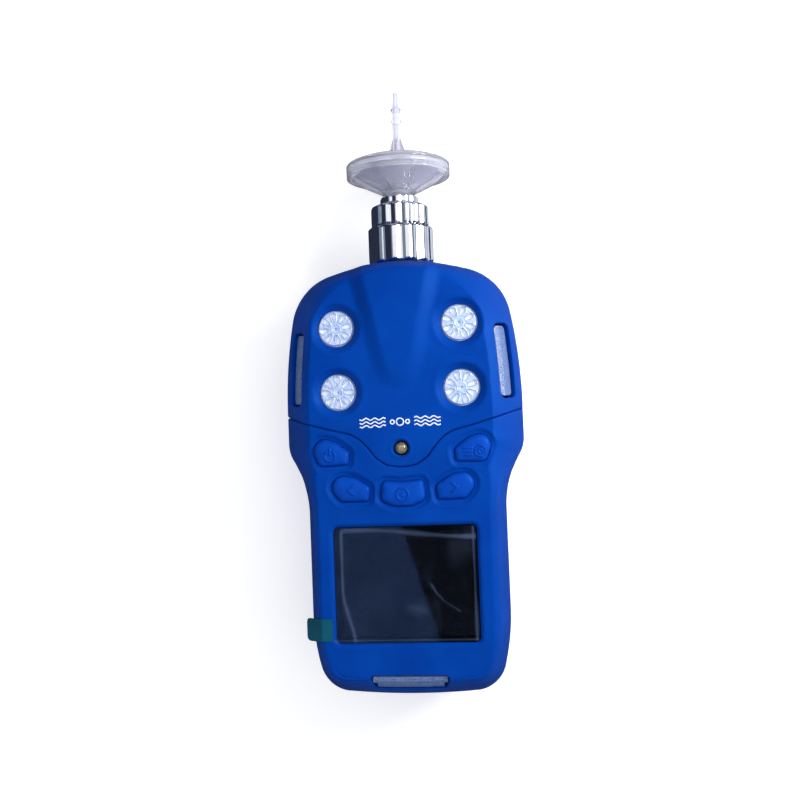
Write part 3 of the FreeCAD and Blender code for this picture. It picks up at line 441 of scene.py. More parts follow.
def front_surface(p):
    """Distance outside the front of the case."""
    x, y, z = p.T
    edge = edge_distance(x, y)
    groove = 0.14 * bell(edge - 6.4, 0.3) * ramp(-y, 89.0, 92.0)
    height = z - WIDEST_Z - relief_map(x, y) * ramp(z, WIDEST_Z, FRONT_Z - 3.0)
    return superellipse(edge, height, bevel_width(x, y), BEVEL_DEPTH, bevel_shape(x, y)) + groove


def front_inside(p):
    """Distance outside the space under the front of the case."""
    x, y, z = p.T
    edge = edge_distance(x, y) - WALL
    return superellipse(edge, z - WIDEST_Z + CEILING, bevel_width(x, y), BEVEL_DEPTH, bevel_shape(x, y))


def posts(p, radius):
    """Distance outside upright posts at the case screws, on both sides of the centre line."""
    return np.minimum.reduce([np.hypot(np.abs(p[:, 0]) - x, p[:, 1] - y) for x, y in CASE_SCREWS]) - radius


def cut(shell, hole, radius=0.5):
    """Shell with a hole taken out of it, and the hole's edge rounded."""
    return smooth_max(shell, -hole, radius)


def on_bevel(p, node, *turns):
    """Points in the axes of an alarm window: across, along and out. Each turn is an axis and an angle."""
    turn = np.eye(3)
    for axis, angle in turns:
        turn = turn @ np.array(Matrix.Rotation(angle, 3, axis))
    return (p - node_middle(node)) @ turn


def side_light_distance(p, side):
    q = on_bevel(p, "side_light_right" if side > 0 else "side_light_left",
                 ("Z", side * SIDE_LIGHT["lean"]), ("Y", side * SIDE_LIGHT["tilt"]))
    return rounded_box(q[:, 0], q[:, 1], *SIDE_LIGHT["half"], SIDE_LIGHT["corner"]), q


def bottom_light_distance(p):
    """Wide upper tier and narrower lower tier."""
    q = on_bevel(p, "bottom_light", ("X", BOTTOM_LIGHT["tilt"]))
    half_x, half_y = BOTTOM_LIGHT["half"]
    overlap = 0.3
    upper = rounded_box(q[:, 0], q[:, 1] - half_y / 2, half_x, half_y / 2, 0.5)
    lower = rounded_box(q[:, 0], q[:, 1] + half_y / 2 - overlap, half_x - BOTTOM_LIGHT["step"],
                        half_y / 2 + overlap, 0.5)
    return np.minimum(upper, lower), q


def bottom_opening_distance(p):
    """Opening for the bottom light, narrower towards its lower side."""
    q = on_bevel(p, "bottom_light", ("X", BOTTOM_LIGHT["tilt"]))
    half_x, half_y = (half + BOTTOM_LIGHT_GAP for half in BOTTOM_LIGHT["half"])
    narrowing = 1 - 0.10 * ramp(half_y - q[:, 1], 0.0, 2 * half_y)
    return rounded_box(q[:, 0] / narrowing, q[:, 1], half_x, half_y, 1.5)


def front_shell(p):
    """Both front covers in one, before the seam and the openings."""
    outside = front_surface(p)
    shell = smooth_max(outside, -front_inside(p), 0.3)
    shell = smooth_min(shell, np.maximum(posts(p, BOSS_R), outside + 0.4), 0.6)
    shell = np.maximum(shell, -np.maximum(posts(p, 1.0), p[:, 2] - PARTING_Z - 6))
    return smooth_max(shell, PARTING_Z + 0.12 - p[:, 2], 0.5)


def head_field(p):
    """Sensor cover."""
    x, y = p[:, 0], p[:, 1]
    shell = smooth_max(front_shell(p), SEAM_GAP / 2 - seam_distance(x, y), EDGE_ROUND)
    for sx, sy in SENSORS:
        shell = cut(shell, np.hypot(x - sx, y - sy) - GRILLE_R - 0.15, 0.4)
    shell = cut(shell, np.hypot(x - STATUS_AT[0], y - STATUS_AT[1]) - 2.3, 0.35)
    for side in (-1, 1):
        shell = cut(shell, side_light_distance(p, side)[0] - SIDE_LIGHT_GAP)
    return shell


def cover_field(p):
    """Front cover below the seam, with the openings for keys, window and bottom light."""
    x, y, z = p.T
    shell = smooth_max(front_shell(p), SEAM_GAP / 2 + seam_distance(x, y), EDGE_ROUND)
    shell = cut(shell, nearest_key(x, y) - KEY_GAP, 0.15)
    seat = np.maximum(window_distance(x, y) - 0.08, WINDOW_LOW[2] - z)
    sight = window_distance(x, y) + 2.0
    shell = cut(shell, np.minimum(seat, sight), 0.25)
    return cut(shell, bottom_opening_distance(p))


def rear_field(p):
    """Rear cover with its screw wells, port pocket and grip grooves."""
    x, y, z = p.T
    heel_z = BACK_Z + HEEL_HEIGHT
    corner_width = 3.8
    grip_y = -75.0
    inlet_wall_y = 30
    socket_wall_y = -90
    collet_r = 5.1
    edge = edge_distance(x, y) - 1.2 * np.clip((PARTING_Z - z) / (PARTING_Z - heel_z), 0, 1)
    grip = 1 - ramp(rounded_box(x, y - grip_y, 17.0, 13.0, 3.0), -1.5, 0.0)
    groove = np.maximum(np.cos((y - grip_y) * math.pi / 2.2), 0) ** 2
    outside = superellipse(edge, heel_z - z, corner_width, HEEL_HEIGHT, 2.0)
    outside = outside + 0.5 * groove * grip * (1 - ramp(z, BACK_Z + 1, BACK_Z + 2))
    inside = superellipse(edge - WALL, heel_z - z + WALL, corner_width, HEEL_HEIGHT, 2.0)
    shell = smooth_max(outside, -inside, 0.3)
    shell = smooth_min(shell, np.maximum(posts(p, BOSS_R), outside + 0.5), 0.6)
    wells = np.maximum(posts(p, 2.0), z - SCREW_SEAT_Z)
    shell = cut(shell, np.minimum(wells, posts(p, 1.2)), 0.4)
    shell = cut(shell, np.maximum(np.hypot(x, z - INLET_Z) - collet_r, inlet_wall_y - y), 0.4)
    pocket = rounded_box(x, z - PORT_CENTRE[2], PORT_HALF[0] + 0.25, PORT_HALF[2] + 0.25, 0.8)
    shell = cut(shell, np.maximum(pocket, y - PORT_LOW[1] - 1.25), 0.4)
    shell = cut(shell, np.maximum(rounded_box(x, z - SOCKET_Z, 4.8, 1.9, 1.8), y - socket_wall_y), 0.3)
    return smooth_max(shell, z - PARTING_Z + 0.12, 0.5)


# Keys
def ring_stroke(x, y, cx, cy, radius, start=0, end=360):
    return stroke(x, y, circle_points(cx, cy, radius, math.radians(start), math.radians(end)))


def icon_distance(key, x, y):
    """Distance from the lines of the symbol on a key, in the key's own axes."""
    if key == "button_power":
        return np.minimum(ring_stroke(x, y, 0, -0.2, 1.7, 125, 415), stroke(x, y, [(0, 0.4), (0, 2.2)]))
    if key == "button_light":
        rays = [stroke(x, y, [(-4.4 + 0.3 * k, 1.3 - 1.2 * k), (-1.7, 1.1 - 1.05 * k)]) for k in range(3)]
        return np.minimum.reduce(rays + [ring_stroke(x, y, 1.1, 0.1, radius) for radius in (1.7, 0.7)])
    if key == "button_ok":
        return np.minimum(ring_stroke(x, y, 0, 0, 1.9), np.hypot(x, y) - 0.35)
    side = -1 if key == "button_left" else 1
    return stroke(x * side, y, [(-0.8, 1.6), (0.9, 0.2), (-0.8, -1.2)])


def key_field(key):
    """Domed cap with its raised symbol, a skirt that closes the gap, a flange and a stem."""
    middle_x, middle_y = node_middle(key)[:2]
    ox, oy = ICON_OFFSET[key]
    flange_z = 41.8
    stem_z = 40.6
    half_flange = 0.55

    def field(p):
        x, y, z = p.T
        edge = key_distance(key, x, y)
        dome = np.sqrt(np.clip(1 - (1 - np.clip(-edge / 3.6, 0, 1)) ** 2, 0, 1))
        symbol = 0.28 * (1 - ramp(icon_distance(key, x - middle_x - ox, y - middle_y - oy), 0.16, 0.42))
        top = FRONT_Z - 0.6 + 1.35 * dome + symbol
        cap = np.maximum(smooth_max(edge, (z - top) * 0.8, 0.85), flange_z - half_flange - z)
        skirt = np.maximum(z - FRONT_Z + MOAT_DEPTH + 0.15, flange_z - 0.3 - z)
        skirt = np.maximum(edge - KEY_GAP + 0.05, skirt)
        flange = np.maximum(edge - 0.8, np.abs(z - flange_z) - half_flange)
        stem = np.maximum(np.hypot(x - middle_x, y - middle_y) - 1.5, np.abs(z - stem_z) - 1.0)
        return np.minimum.reduce([cap, skirt, flange, stem])

    return field


# Grilles, light windows and port cover
def grille_field(x0, y0, turn):
    """Disc with a hub ring, eight oval slots and raised ribs between them."""
    top_z = FRONT_Z - 1.3
    half_sector = math.pi / 8
    slot_from = 2.75
    slot_to = 4.35

    def field(p):
        x, y, z = p[:, 0] - x0, p[:, 1] - y0, p[:, 2]
        r = np.hypot(x, y)
        sector = (np.arctan2(y, x) - turn + half_sector) % (2 * half_sector) - half_sector
        along = r * np.cos(sector)
        reach = np.clip(along, slot_from, slot_to)
        slot = np.hypot(along - reach, r * np.sin(sector)) - 0.46 - 0.2 * (reach - slot_from)
        hub = 0.16 * bell(r - 1.5, 0.28) - 0.3 * bell(r, 0.55)
        collar = 0.17 * bell(slot - 0.22, 0.17)
        top = top_z + hub + collar - 0.25 * ramp(r, 5.25, 5.7)
        disc = smooth_max(np.maximum(r - GRILLE_R + 0.3, (z - top) * 0.85), -slot, 0.25)
        disc = np.maximum.reduce([disc, 0.28 - r, FRONT_Z - 2.6 - z])
        ring = np.maximum(r - GRILLE_R - 1.4, GRILLE_R - 0.6 - r)
        flange = np.maximum(ring, np.abs(z - FRONT_Z + 3.0) - 0.45)
        return np.minimum(disc, flange)

    return field


def light_body(outside, face, edge):
    """Sunken window: its outer face, its edge and its thickness."""
    return smooth_max(smooth_max(face, edge, 0.3), -outside - LIGHT_SUNK - LIGHT_THICK, 0.3)


def side_light_field(side):
    """Window with an off-centre ridge, grained on one slope and lined on the other."""
    ridge_at = -0.9

    def field(p):
        edge, q = side_light_distance(p, side)
        outside = front_surface(p)
        away = side * q[:, 0] - ridge_at
        ridge = np.where(away < 0, -away * 0.42, away * 0.30)
        ridge = smooth_max(ridge, -ridge, 0.5)
        grain = 0.07 * np.cos(FULL_TURN * q[:, 1] / 0.8 + 3 * side * q[:, 0]) * ramp(-away, -0.3, 0.6)
        lines = 0.05 * np.cos(FULL_TURN * side * q[:, 0] / 0.85) * ramp(away, 0.2, 0.8)
        face = outside + LIGHT_SUNK + ridge + (grain + lines) * (1 - ramp(edge, -0.7, -0.3))
        return light_body(outside, face, edge)

    return field


def bottom_light_field(p):
    """Two-tier window with a toothed split and a knurled face."""
    edge, q = bottom_light_distance(p)
    outside = front_surface(p)
    pitch = 0.9
    teeth = np.abs((q[:, 0] / pitch) % 1.0 - 0.5)
    split = 0.42 * bell(q[:, 1] + 0.15 - 0.5 * teeth, 0.2)
    knurl = 0.07 * np.cos(FULL_TURN * q[:, 0] / pitch) * np.cos(FULL_TURN * (q[:, 1] + 0.6) / 1.5)
    return light_body(outside, outside + LIGHT_SUNK + split + knurl, edge)


def port_cover_field(p):
    """Flap with rounded edges and ribs, and a plug behind."""
    x, y, z = p.T
    thick = 1.2
    face_y = PORT_LOW[1] + thick / 2
    height = z - PORT_CENTRE[2]
    ribbed = 1 - ramp(rounded_box(x, height, 5.6, 2.6, 1.0), -0.4, 0.1)
    ribs = 0.14 * np.cos(FULL_TURN * height / 1.4) * ribbed * (y < face_y)
    outline = rounded_box(x, height, PORT_HALF[0], PORT_HALF[2], 0.6)
    flap = smooth_max(outline, np.abs(y - face_y) - thick / 2 + 0.14 + ribs, 0.45)
    plug = np.maximum(rounded_box(x, z - SOCKET_Z, 4.0, 0.9, 0.8), np.maximum(y - PORT_HIGH[1], face_y - y))
    return np.minimum(flap, plug)


# Turned parts
def solid(name, points, faces):
    """Closed mesh from points in millimetres, with doubled points merged and faces turned outwards."""
    mesh = smooth_mesh(name, points, [list(f) for f in faces])
    work = bmesh.new()
    work.from_mesh(mesh)
    bmesh.ops.remove_doubles(work, verts=work.verts, dist=1e-8)
    bmesh.ops.dissolve_degenerate(work, edges=work.edges, dist=1e-9)
    bmesh.ops.recalc_face_normals(work, faces=work.faces)
    work.to_mesh(mesh)
    work.free()
    mesh.polygons.foreach_set("use_smooth", [True] * len(mesh.polygons))
    piece = add(mesh)
    weighted = piece.modifiers.new("weighted", "WEIGHTED_NORMAL")
    weighted.keep_sharp = True
    return piece


def joined(parts):
    """Points and faces of several parts, numbered as one."""
    points = []
    faces = []
    for more, sides in parts:
        faces += [[k + len(points) for k in side] for side in sides]
        points += list(more)
    return points, faces


def rounded(profile, radius, steps=5):
    """Closed profile with its corners rounded, apart from those on the axis."""
    result = []
    count = len(profile)
    for k, corner in enumerate(profile):
        here = np.array(corner, float)
        if here[0] < 1e-6:
            result.append(tuple(here))
            continue
        before = np.array(profile[k - 1], float) - here
        after = np.array(profile[(k + 1) % count], float) - here
        reach = min(radius, 0.45 * np.linalg.norm(before), 0.45 * np.linalg.norm(after))
        a = here + before / np.linalg.norm(before) * reach
        b = here + after / np.linalg.norm(after) * reach
        for t in np.linspace(0, 1, steps):
            result.append(tuple(a * (1 - t) ** 2 + 2 * here * t * (1 - t) + b * t * t))
    return result


def lathe(name, profile, centre, axis="Y", segments=192, shape=None):
    """Solid of revolution from a closed profile of (radius, height). shape(r, h, angle) may change r."""
    rows = len(profile)
    radii, heights = np.array(profile).T
    turns = np.linspace(0, FULL_TURN, segments, endpoint=False)
    angle, r = np.meshgrid(turns, radii)
    h = np.meshgrid(turns, heights)[1]
    if shape:
        r = shape(r, h, angle)
    u = centre[0] + r * np.cos(angle)
    v = centre[1] + r * np.sin(angle)
    points = np.stack((u, h, v) if axis == "Y" else (u, v, h), axis=-1).reshape(-1, 3)
    faces = []
    for i in range(rows):
        j = (i + 1) % rows
        if radii[i] < 1e-6 and radii[j] < 1e-6:
            continue
        for k in range(segments):
            n = (k + 1) % segments
            faces.append((i * segments + k, i * segments + n, j * segments + n, j * segments + k))
    return solid(name, points, faces)


def column(radius, y0, y1, bore, bevel, rows=24):
    """Profile of a ring whose outer wall is cut into rows, so that it can be fluted."""
    wall = [(radius, y) for y in np.linspace(y0 + bevel, y1 - bevel, rows)]
    return ([(bore, y0), (bore + 0.3, y0), (radius - bevel, y0)] + wall
            + [(radius - bevel, y1), (bore + 0.3, y1), (bore, y1)])


def fluting(radius, y0, y1, lobes, depth, power, phase):
    """Function that cuts flutes between rounded lobes and fades them out towards both ends."""
    reach = 0.9

    def shape(r, h, angle):
        lobe = np.abs(np.cos((angle - phase) * lobes / 2)) ** power
        fade = ramp(h, y0, y0 + reach) * (1 - ramp(h, y1 - reach, y1))
        outer = ramp(r, radius - 1.2, radius - 0.4)
        return r - outer * depth * (1 - lobe) * (0.35 + 0.65 * fade)

    return shape


def fluted_ring(node, bore, lobes, depth, power, phase=0.0):
    """Chrome ring round the inlet's axis, in place of a CAD node."""
    low, high = node_box(node)
    profile = rounded(column(high[0], low[1], high[1], bore, 0.7), 0.3, 4)
    ring = lathe(node + "_fluted", profile, (0.0, INLET_Z), segments=lobes * 36,
                 shape=fluting(high[0], low[1], high[1], lobes, depth, power, phase))
    stand_for(ring, node)


def fin(angle, outline, thick):
    """Flat rib in a plane through the inlet's axis; outline is a list of (radius, y)."""
    across = np.array([-math.sin(angle), 0.0, math.cos(angle)])
    out = np.array([math.cos(angle), 0.0, math.sin(angle)])
    near = [out * r + np.array([0.0, y, INLET_Z]) - across * thick / 2 for r, y in outline]
    far = [p + across * thick for p in near]
    count = len(outline)
    faces = [list(range(count)), [2 * count - 1 - k for k in range(count)]]
    faces += [[k, (k + 1) % count, (k + 1) % count + count, k + count] for k in range(count)]
    return near + far, faces


def fins(name, count, outline, thick, phase):
    """Ribs all round the inlet's axis, as one piece."""
    angles = [phase + FULL_TURN * step / count for step in range(count)]
    piece = solid(name, *joined(fin(angle, outline, thick) for angle in angles))
    edge = piece.modifiers.new("edges", "BEVEL")
    edge.width = 0.12 * MM
    edge.segments = 2
    piece.modifiers.move(1, 0)
    return piece


# Screen film and its tab
FILM_WAVE = 0.012


def sheet_solid(name, top, thick):
    """Thin closed sheet from a grid of points on its upper side."""
    rows, columns = top.shape[:2]
    upper = top.reshape(-1, 3)
    half = rows * columns
    at = np.arange(half).reshape(rows, columns)
    faces = []
    for i in range(rows - 1):
        for j in range(columns - 1):
            face = (at[i, j], at[i + 1, j], at[i + 1, j + 1], at[i, j + 1])
            faces += [face, tuple(k + half for k in face[::-1])]
    rim = [*at[:, 0], *at[-1, 1:], *at[-2::-1, -1], *at[0, -2:0:-1]]
    faces += [(b, a, a + half, b + half) for a, b in zip(rim, rim[1:] + rim[:1])]
    return solid(name, np.concatenate([upper, upper - np.array([0, 0, thick])]), faces)


def film_lift(x, y):
    """How far the protective film stands off the glass: loose edges, a crease and some blisters."""
    left = x - WINDOW_LOW[0]
    top = WINDOW_HIGH[1] - y
    right = WINDOW_HIGH[0] - x
    low = y - WINDOW_LOW[1]
    swing = 2.4 + 3.6 * ramp(-y, 66.0, 84.0)
    slant = 0.9 + 2.8 * ramp(x, -14.0, 22.0)
    crease = stroke(x, y, [(8.0, -64.8), (9.6, -67.4), (12.2, -70.2), (16.8, -73.2)])
    lift = 0.07 * bell(left - swing, 0.55) * ramp(top, 0.4, 1.4)
    lift += 0.07 * bell(top - slant, 0.7) * ramp(left, 2.0, 3.2)
    lift += 0.05 * bell(right - 1.1, 0.35)
    lift += 0.05 * bell(low - 0.8, 0.3)
    lift += 0.045 * bell(crease, 0.4)
    lift += 0.022 * bell(x - 3.5, 5.0) * bell(y + 71.5 + 0.2 * x, 1.8)
    lift += 0.016 * bell(x + 11.5, 3.0) * bell(y + 79.0, 2.4)
    lift += 0.024 * bell(x - 23.5, 2.0) * bell(y + 77.0, 4.5)
    return lift + FILM_WAVE * np.sin(x * 0.31 + 0.8 * np.sin(y * 0.23)) * ramp(low, 0.0, 3.0)


def screen_film():
    """Sheet over the window, its corners pulled in to follow the rounded window."""
    inset = 0.25
    xs = np.linspace(WINDOW_LOW[0] + inset, WINDOW_HIGH[0] - inset, 150)
    ys = np.linspace(WINDOW_LOW[1] + inset, WINDOW_HIGH[1] - inset, 120)
    gx, gy = np.meshgrid(xs, ys, indexing="ij")
    corner = rounded_box(gx - WINDOW_CENTRE[0], gy - WINDOW_CENTRE[1], WINDOW_HALF[0] - inset,
                         WINDOW_HALF[1] - inset, 1.3)
    pull = np.maximum(corner, 0) * 0.75
    gx = gx - np.sign(gx - WINDOW_CENTRE[0]) * pull
    gy = gy - np.sign(gy - WINDOW_CENTRE[1]) * pull
    gz = WINDOW_HIGH[2] + 0.09 + np.maximum(film_lift(gx, gy), 0)
    return sheet_solid("screen_film_sheet", np.stack([gx, gy, gz], axis=-1), 0.06)


def tab_height(x):
    """Height of the tab's upper side, over the rim and then away from the side of the case."""
    bend_x = -27.4
    bend_r = 1.2
    run = np.maximum(bend_x - x, 0)
    return FRONT_Z + 0.2 - 0.74 * (np.sqrt(run ** 2 + bend_r ** 2) - bend_r) - 0.75 * ramp(x, -23.9, -22.6)


def tab_strip(name, x0, x1, end_round, thick):
    """Length of the tab between two x positions, its outer corners rounded."""
    half = (TAB_HIGH[1] - TAB_LOW[1]) / 2
    middle = (TAB_HIGH[1] + TAB_LOW[1]) / 2
    rows = []
    for x in np.linspace(x0, x1, 60):
        short = max(end_round - (x - x0), 0.0)
        narrow = end_round - math.sqrt(max(end_round ** 2 - short ** 2, 0.0))
        ys = middle + (half - narrow) * np.linspace(-1, 1, 30)
        rows.append([(x, y, tab_height(x)) for y in ys])
    return sheet_solid(name, np.array(rows), thick)


def mark_lift(piece):
    """Stores how far the film stands off, for its haze."""
    mesh = piece.data
    co = np.empty(len(mesh.vertices) * 3)
    mesh.vertices.foreach_get("co", co)
    co = co.reshape(-1, 3) / MM
    amount = np.clip((film_lift(co[:, 0], co[:, 1]) - FILM_WAVE) / 0.07, 0, 1)
    mesh.attributes.new("lift", "FLOAT", "POINT").data.foreach_set("value", amount.astype(np.float32))


# Printed mark
def unit(vectors):
    return vectors / np.linalg.norm(vectors, axis=1)[:, None]


def ribbon(points, closed=False):
    """Flat stroke along a line of (x, y) points: its points and faces, just above the front face."""
    width = 0.42
    line = np.array(points, float)
    ahead = np.roll(line, -1, axis=0) - line
    if not closed:
        ahead[-1] = ahead[-2]
    behind = np.roll(ahead, 1, axis=0)
    if not closed:
        behind[0] = ahead[0]
    along = unit(unit(ahead) + unit(behind))
    side = np.stack([-along[:, 1], along[:, 0]], axis=1) * width / 2
    levels = [np.column_stack([edge, np.full(len(line), z)])
              for z in (FRONT_Z - 0.04, FRONT_Z + 0.03) for edge in (line - side, line + side)]
    count = len(line)
    faces = []
    for k in range(count if closed else count - 1):
        n = (k + 1) % count
        a, b, c, d = (count * level for level in range(4))
        faces += [(c + k, c + n, d + n, d + k), (a + k, b + k, b + n, a + n),
                  (a + k, a + n, c + n, c + k), (b + k, d + k, d + n, b + n)]
    if not closed:
        last = count - 1
        faces += [(0, 2 * count, 3 * count, count), (last, count + last, 3 * count + last, 2 * count + last)]
    return np.concatenate(levels).tolist(), faces


def airflow_mark(centre_y):
    """Generic pictogram in place of printed words: air waves on both sides of a molecule."""
    strokes = []
    for side in (-1, 1):
        for row in (-1, 0, 1):
            wave = [(side * x, centre_y + 1.15 * row + 0.32 * math.sin((x - 4.6) * FULL_TURN / 2.8))
                    for x in np.linspace(4.6, 13.0, 60)]
            strokes.append(ribbon(wave))
    for x, radius in ((0.0, 1.15), (-2.45, 0.62), (2.45, 0.62)):
        strokes.append(ribbon(circle_points(x, centre_y, radius, count=41)[:-1], closed=True))
    return solid("airflow_mark", *joined(strokes))


# Materials
def srgb(red, green, blue):
    """Linear colour from 0-255 display values."""
    levels = (red / 255, green / 255, blue / 255)
    return tuple(v / 12.92 if v <= 10 / 255 else ((v + 0.055) / 1.055) ** 2.4 for v in levels)


MATERIALS = {}


class Finish:
    """A procedural material: one Principled shader and the textures that feed it."""

    def __init__(self, name, **settings):
        MATERIALS[name] = bpy.data.materials.new(name)
        MATERIALS[name].use_nodes = True
        self.tree = MATERIALS[name].node_tree
        self.shader = self.tree.nodes["Principled BSDF"]
        self.place = self.node("ShaderNodeTexCoord").outputs["Object"]
        self.normal = None
        for socket, value in settings.items():
            self.shader.inputs[socket.replace("_", " ")].default_value = value

    def node(self, kind, links=(), values=(), **settings):
        """New node: what is linked to its sockets, the values of other sockets, and its settings."""
        made = self.tree.nodes.new(kind)
        for name, value in settings.items():
            setattr(made, name, value)
        for socket, value in values:
            made.inputs[socket].default_value = value
        for socket, source in links:
            self.tree.links.new(source, made.inputs[socket])
        return made

    def noise(self, size, detail=2.0, rough=0.5, stretch=None):
        """Noise whose features are about size millimetres across."""
        place = self.place
        if stretch:
            place = self.node("ShaderNodeMapping", [("Vector", place)], [("Scale", stretch)]).outputs[0]
        values = [("Scale", 1 / (size * MM)), ("Detail", detail), ("Roughness", rough)]
        return self.node("ShaderNodeTexNoise", [("Vector", place)], values).outputs["Fac"]

    def cells(self, size):
        values = [("Scale", 1 / (size * MM))]
        return self.node("ShaderNodeTexVoronoi", [("Vector", self.place)], values).outputs["Distance"]

    def spread(self, value, low, high, start=0.3, end=0.7):
        """A texture from start to end becomes low to high."""
        values = [("From Min", start), ("From Max", end), ("To Min", low), ("To Max", high)]
        return self.node("ShaderNodeMapRange", [("Value", value)], values).outputs["Result"]

    def total(self, a, b):
        return self.node("ShaderNodeMath", [(0, a), (1, b)], operation="ADD").outputs["Value"]

    def tint(self, value, low, high, socket="Base Color"):
        """Colour between two tints, by a texture."""
        made = self.node("ShaderNodeMix", [("Factor", self.spread(value, 0.0, 1.0))], data_type="RGBA")
        made.inputs["A"].default_value = (*low, 1)
        made.inputs["B"].default_value = (*high, 1)
        self.tree.links.new(made.outputs["Result"], self.shader.inputs[socket])

    def feed(self, socket, value, low, high):
        self.tree.links.new(self.spread(value, low, high), self.shader.inputs[socket])

    def bump(self, height, depth, strength=1.0):
        """Relief of a texture, depth millimetres high."""
        links = [("Height", height)] + ([("Normal", self.normal)] if self.normal else [])
        made = self.node("ShaderNodeBump", links, [("Distance", depth * MM), ("Strength", strength)])
        self.normal = made.outputs["Normal"]
        self.tree.links.new(self.normal, self.shader.inputs["Normal"])


def mottled(name, low, high, rough, tint_noise, gloss_noise, relief_noise, depth, **settings):
    """Finish whose tint, gloss and relief each follow a noise of their own."""
    finish = Finish(name, **settings)
    finish.tint(finish.noise(*tint_noise), low, high)
    finish.feed("Roughness", finish.noise(*gloss_noise), *rough)
    finish.bump(finish.noise(*relief_noise), depth)
    return finish


def moulded(name, low, high, roughness, grain, depth, **settings):
    """Moulded plastic or rubber: slight mottling, a fine spark-eroded grain and uneven gloss."""
    finish = mottled(name, low, high, (roughness - 0.05, roughness + 0.05),
                     (14.0, 3.0), (3.0, 4.0), (grain, 3.0, 0.6), depth, **settings)
    finish.bump(finish.noise(9.0, 1.0), depth * 2)


def metal(name, low, high, roughness, stretch, scratch):
    """Metal with fine lines along one direction."""
    finish = Finish(name, Metallic=1.0)
    lines = finish.noise(scratch, 4.0, 0.6, stretch)
    finish.tint(lines, low, high)
    finish.feed("Roughness", lines, roughness * 0.9, roughness * 1.1)
    finish.bump(lines, 0.002, 0.5)


def membrane_white():
    finish = Finish("membrane_white", Sheen_Weight=0.1)
    fibres = finish.noise(0.35, 6.0, 0.7, (1.0, 0.35, 1.0))
    finish.tint(fibres, srgb(218, 226, 242), srgb(246, 249, 254))
    finish.feed("Roughness", fibres, 0.55, 0.8)
    finish.bump(fibres, 0.04)


def lamp_chip():
    # Painted glow: the chip emits faintly to brighten it in its lens, although the indicator is not lit
    finish = Finish("lamp_chip", Emission_Strength=0.1)
    for socket in ("Base Color", "Emission Color"):
        finish.tint(finish.noise(0.4, 2.0), srgb(238, 226, 160), srgb(255, 250, 214), socket)
    finish.feed("Roughness", finish.noise(0.3, 2.0), 0.3, 0.5)


def film_clear():
    """Clear protective film, with faint haze, specks of dust, and more haze where it has lifted."""
    finish = Finish("film_clear", IOR=1.45)
    smear = finish.noise(9.0, 3.0, 0.55, (1.0, 0.45, 1.0))
    finish.tint(smear, srgb(70, 88, 122), srgb(100, 120, 156))
    finish.feed("Roughness", smear, 0.02, 0.05)
    haze = finish.spread(smear, 0.0, 0.035, 0.5, 0.8)
    dust = finish.spread(finish.cells(7.5), 0.5, 0.0, 0.0, 0.035)
    lift = finish.node("ShaderNodeAttribute", attribute_name="lift").outputs["Fac"]
    cover = finish.total(finish.total(haze, dust), finish.spread(lift, 0.0, 0.24, 0.0, 1.0))
    finish.tree.links.new(cover, finish.shader.inputs["Alpha"])
    finish.bump(finish.noise(2.5, 2.0), 0.01)


def board_green():
    finish = Finish("board_green", Coat_Weight=0.4, Coat_Roughness=0.15)
    traces = finish.node("ShaderNodeTexBrick", [("Vector", finish.place)], [
        ("Scale", 260.0), ("Color1", (0.015, 0.12, 0.05, 1)), ("Color2", (0.02, 0.16, 0.07, 1)),
        ("Mortar", (0.03, 0.22, 0.09, 1))])
    finish.tree.links.new(traces.outputs["Color"], finish.shader.inputs["Base Color"])
    finish.feed("Roughness", finish.noise(2.0, 2.0), 0.25, 0.4)
    finish.bump(traces.outputs["Fac"], 0.02)


def floor_white():
    finish = Finish("floor_white", Specular_IOR_Level=0.1, Emission_Color=(1, 1, 1, 1),
                    Emission_Strength=0.34)
    finish.tint(finish.noise(60.0, 3.0), (0.94, 0.94, 0.94), (0.96, 0.96, 0.95))
    finish.feed("Roughness", finish.noise(20.0, 3.0), 0.75, 0.9)


BLUE_GLOSS = (0.12, 0.45, 1.0, 1.0)
moulded("case_blue", srgb(2, 52, 141), srgb(3, 60, 153), 0.46, 0.35, 0.012,
        Specular_IOR_Level=0.2, Specular_Tint=BLUE_GLOSS)
moulded("key_blue", srgb(5, 58, 156), srgb(8, 66, 168), 0.40, 0.25, 0.008,
        Specular_IOR_Level=0.3, Specular_Tint=BLUE_GLOSS)
moulded("gasket_rubber", srgb(16, 17, 22), srgb(28, 29, 34), 0.6, 0.3, 0.02)
moulded("silicone", (0.55, 0.56, 0.56), (0.66, 0.67, 0.66), 0.45, 0.6, 0.01, Subsurface_Weight=0.2)
moulded("sensor_body", (0.62, 0.63, 0.62), (0.72, 0.72, 0.70), 0.4, 0.5, 0.01)
moulded("black_plastic", (0.012, 0.012, 0.014), (0.03, 0.03, 0.033), 0.45, 0.4, 0.015)
mottled("grille_white", srgb(150, 172, 214), srgb(192, 208, 238), (0.22, 0.4),
        (0.9, 3.0), (0.5, 2.0), (0.25, 2.0), 0.02, Coat_Weight=0.5, Coat_Roughness=0.12)
mottled("light_diffuser", srgb(62, 88, 140), srgb(126, 150, 202), (0.28, 0.45),
        (0.45, 3.0, 0.6), (1.2, 2.0), (0.45, 3.0, 0.6), 0.05,
        Coat_Weight=0.35, Coat_Roughness=0.12, Transmission_Weight=0.2)
mottled("status_lens", srgb(132, 130, 104), srgb(176, 172, 140), (0.12, 0.24),
        (1.1, 2.0), (0.6, 2.0), (0.5, 1.0), 0.01,
        Transmission_Weight=0.6, IOR=1.5, Coat_Weight=0.6, Coat_Roughness=0.05)
mottled("window_glass", (0.03, 0.04, 0.07), (0.04, 0.05, 0.085), (0.01, 0.04),
        (16.0, 2.0), (5.0, 4.0), (11.0, 1.0), 0.01, Transmission_Weight=0.98, IOR=1.49)
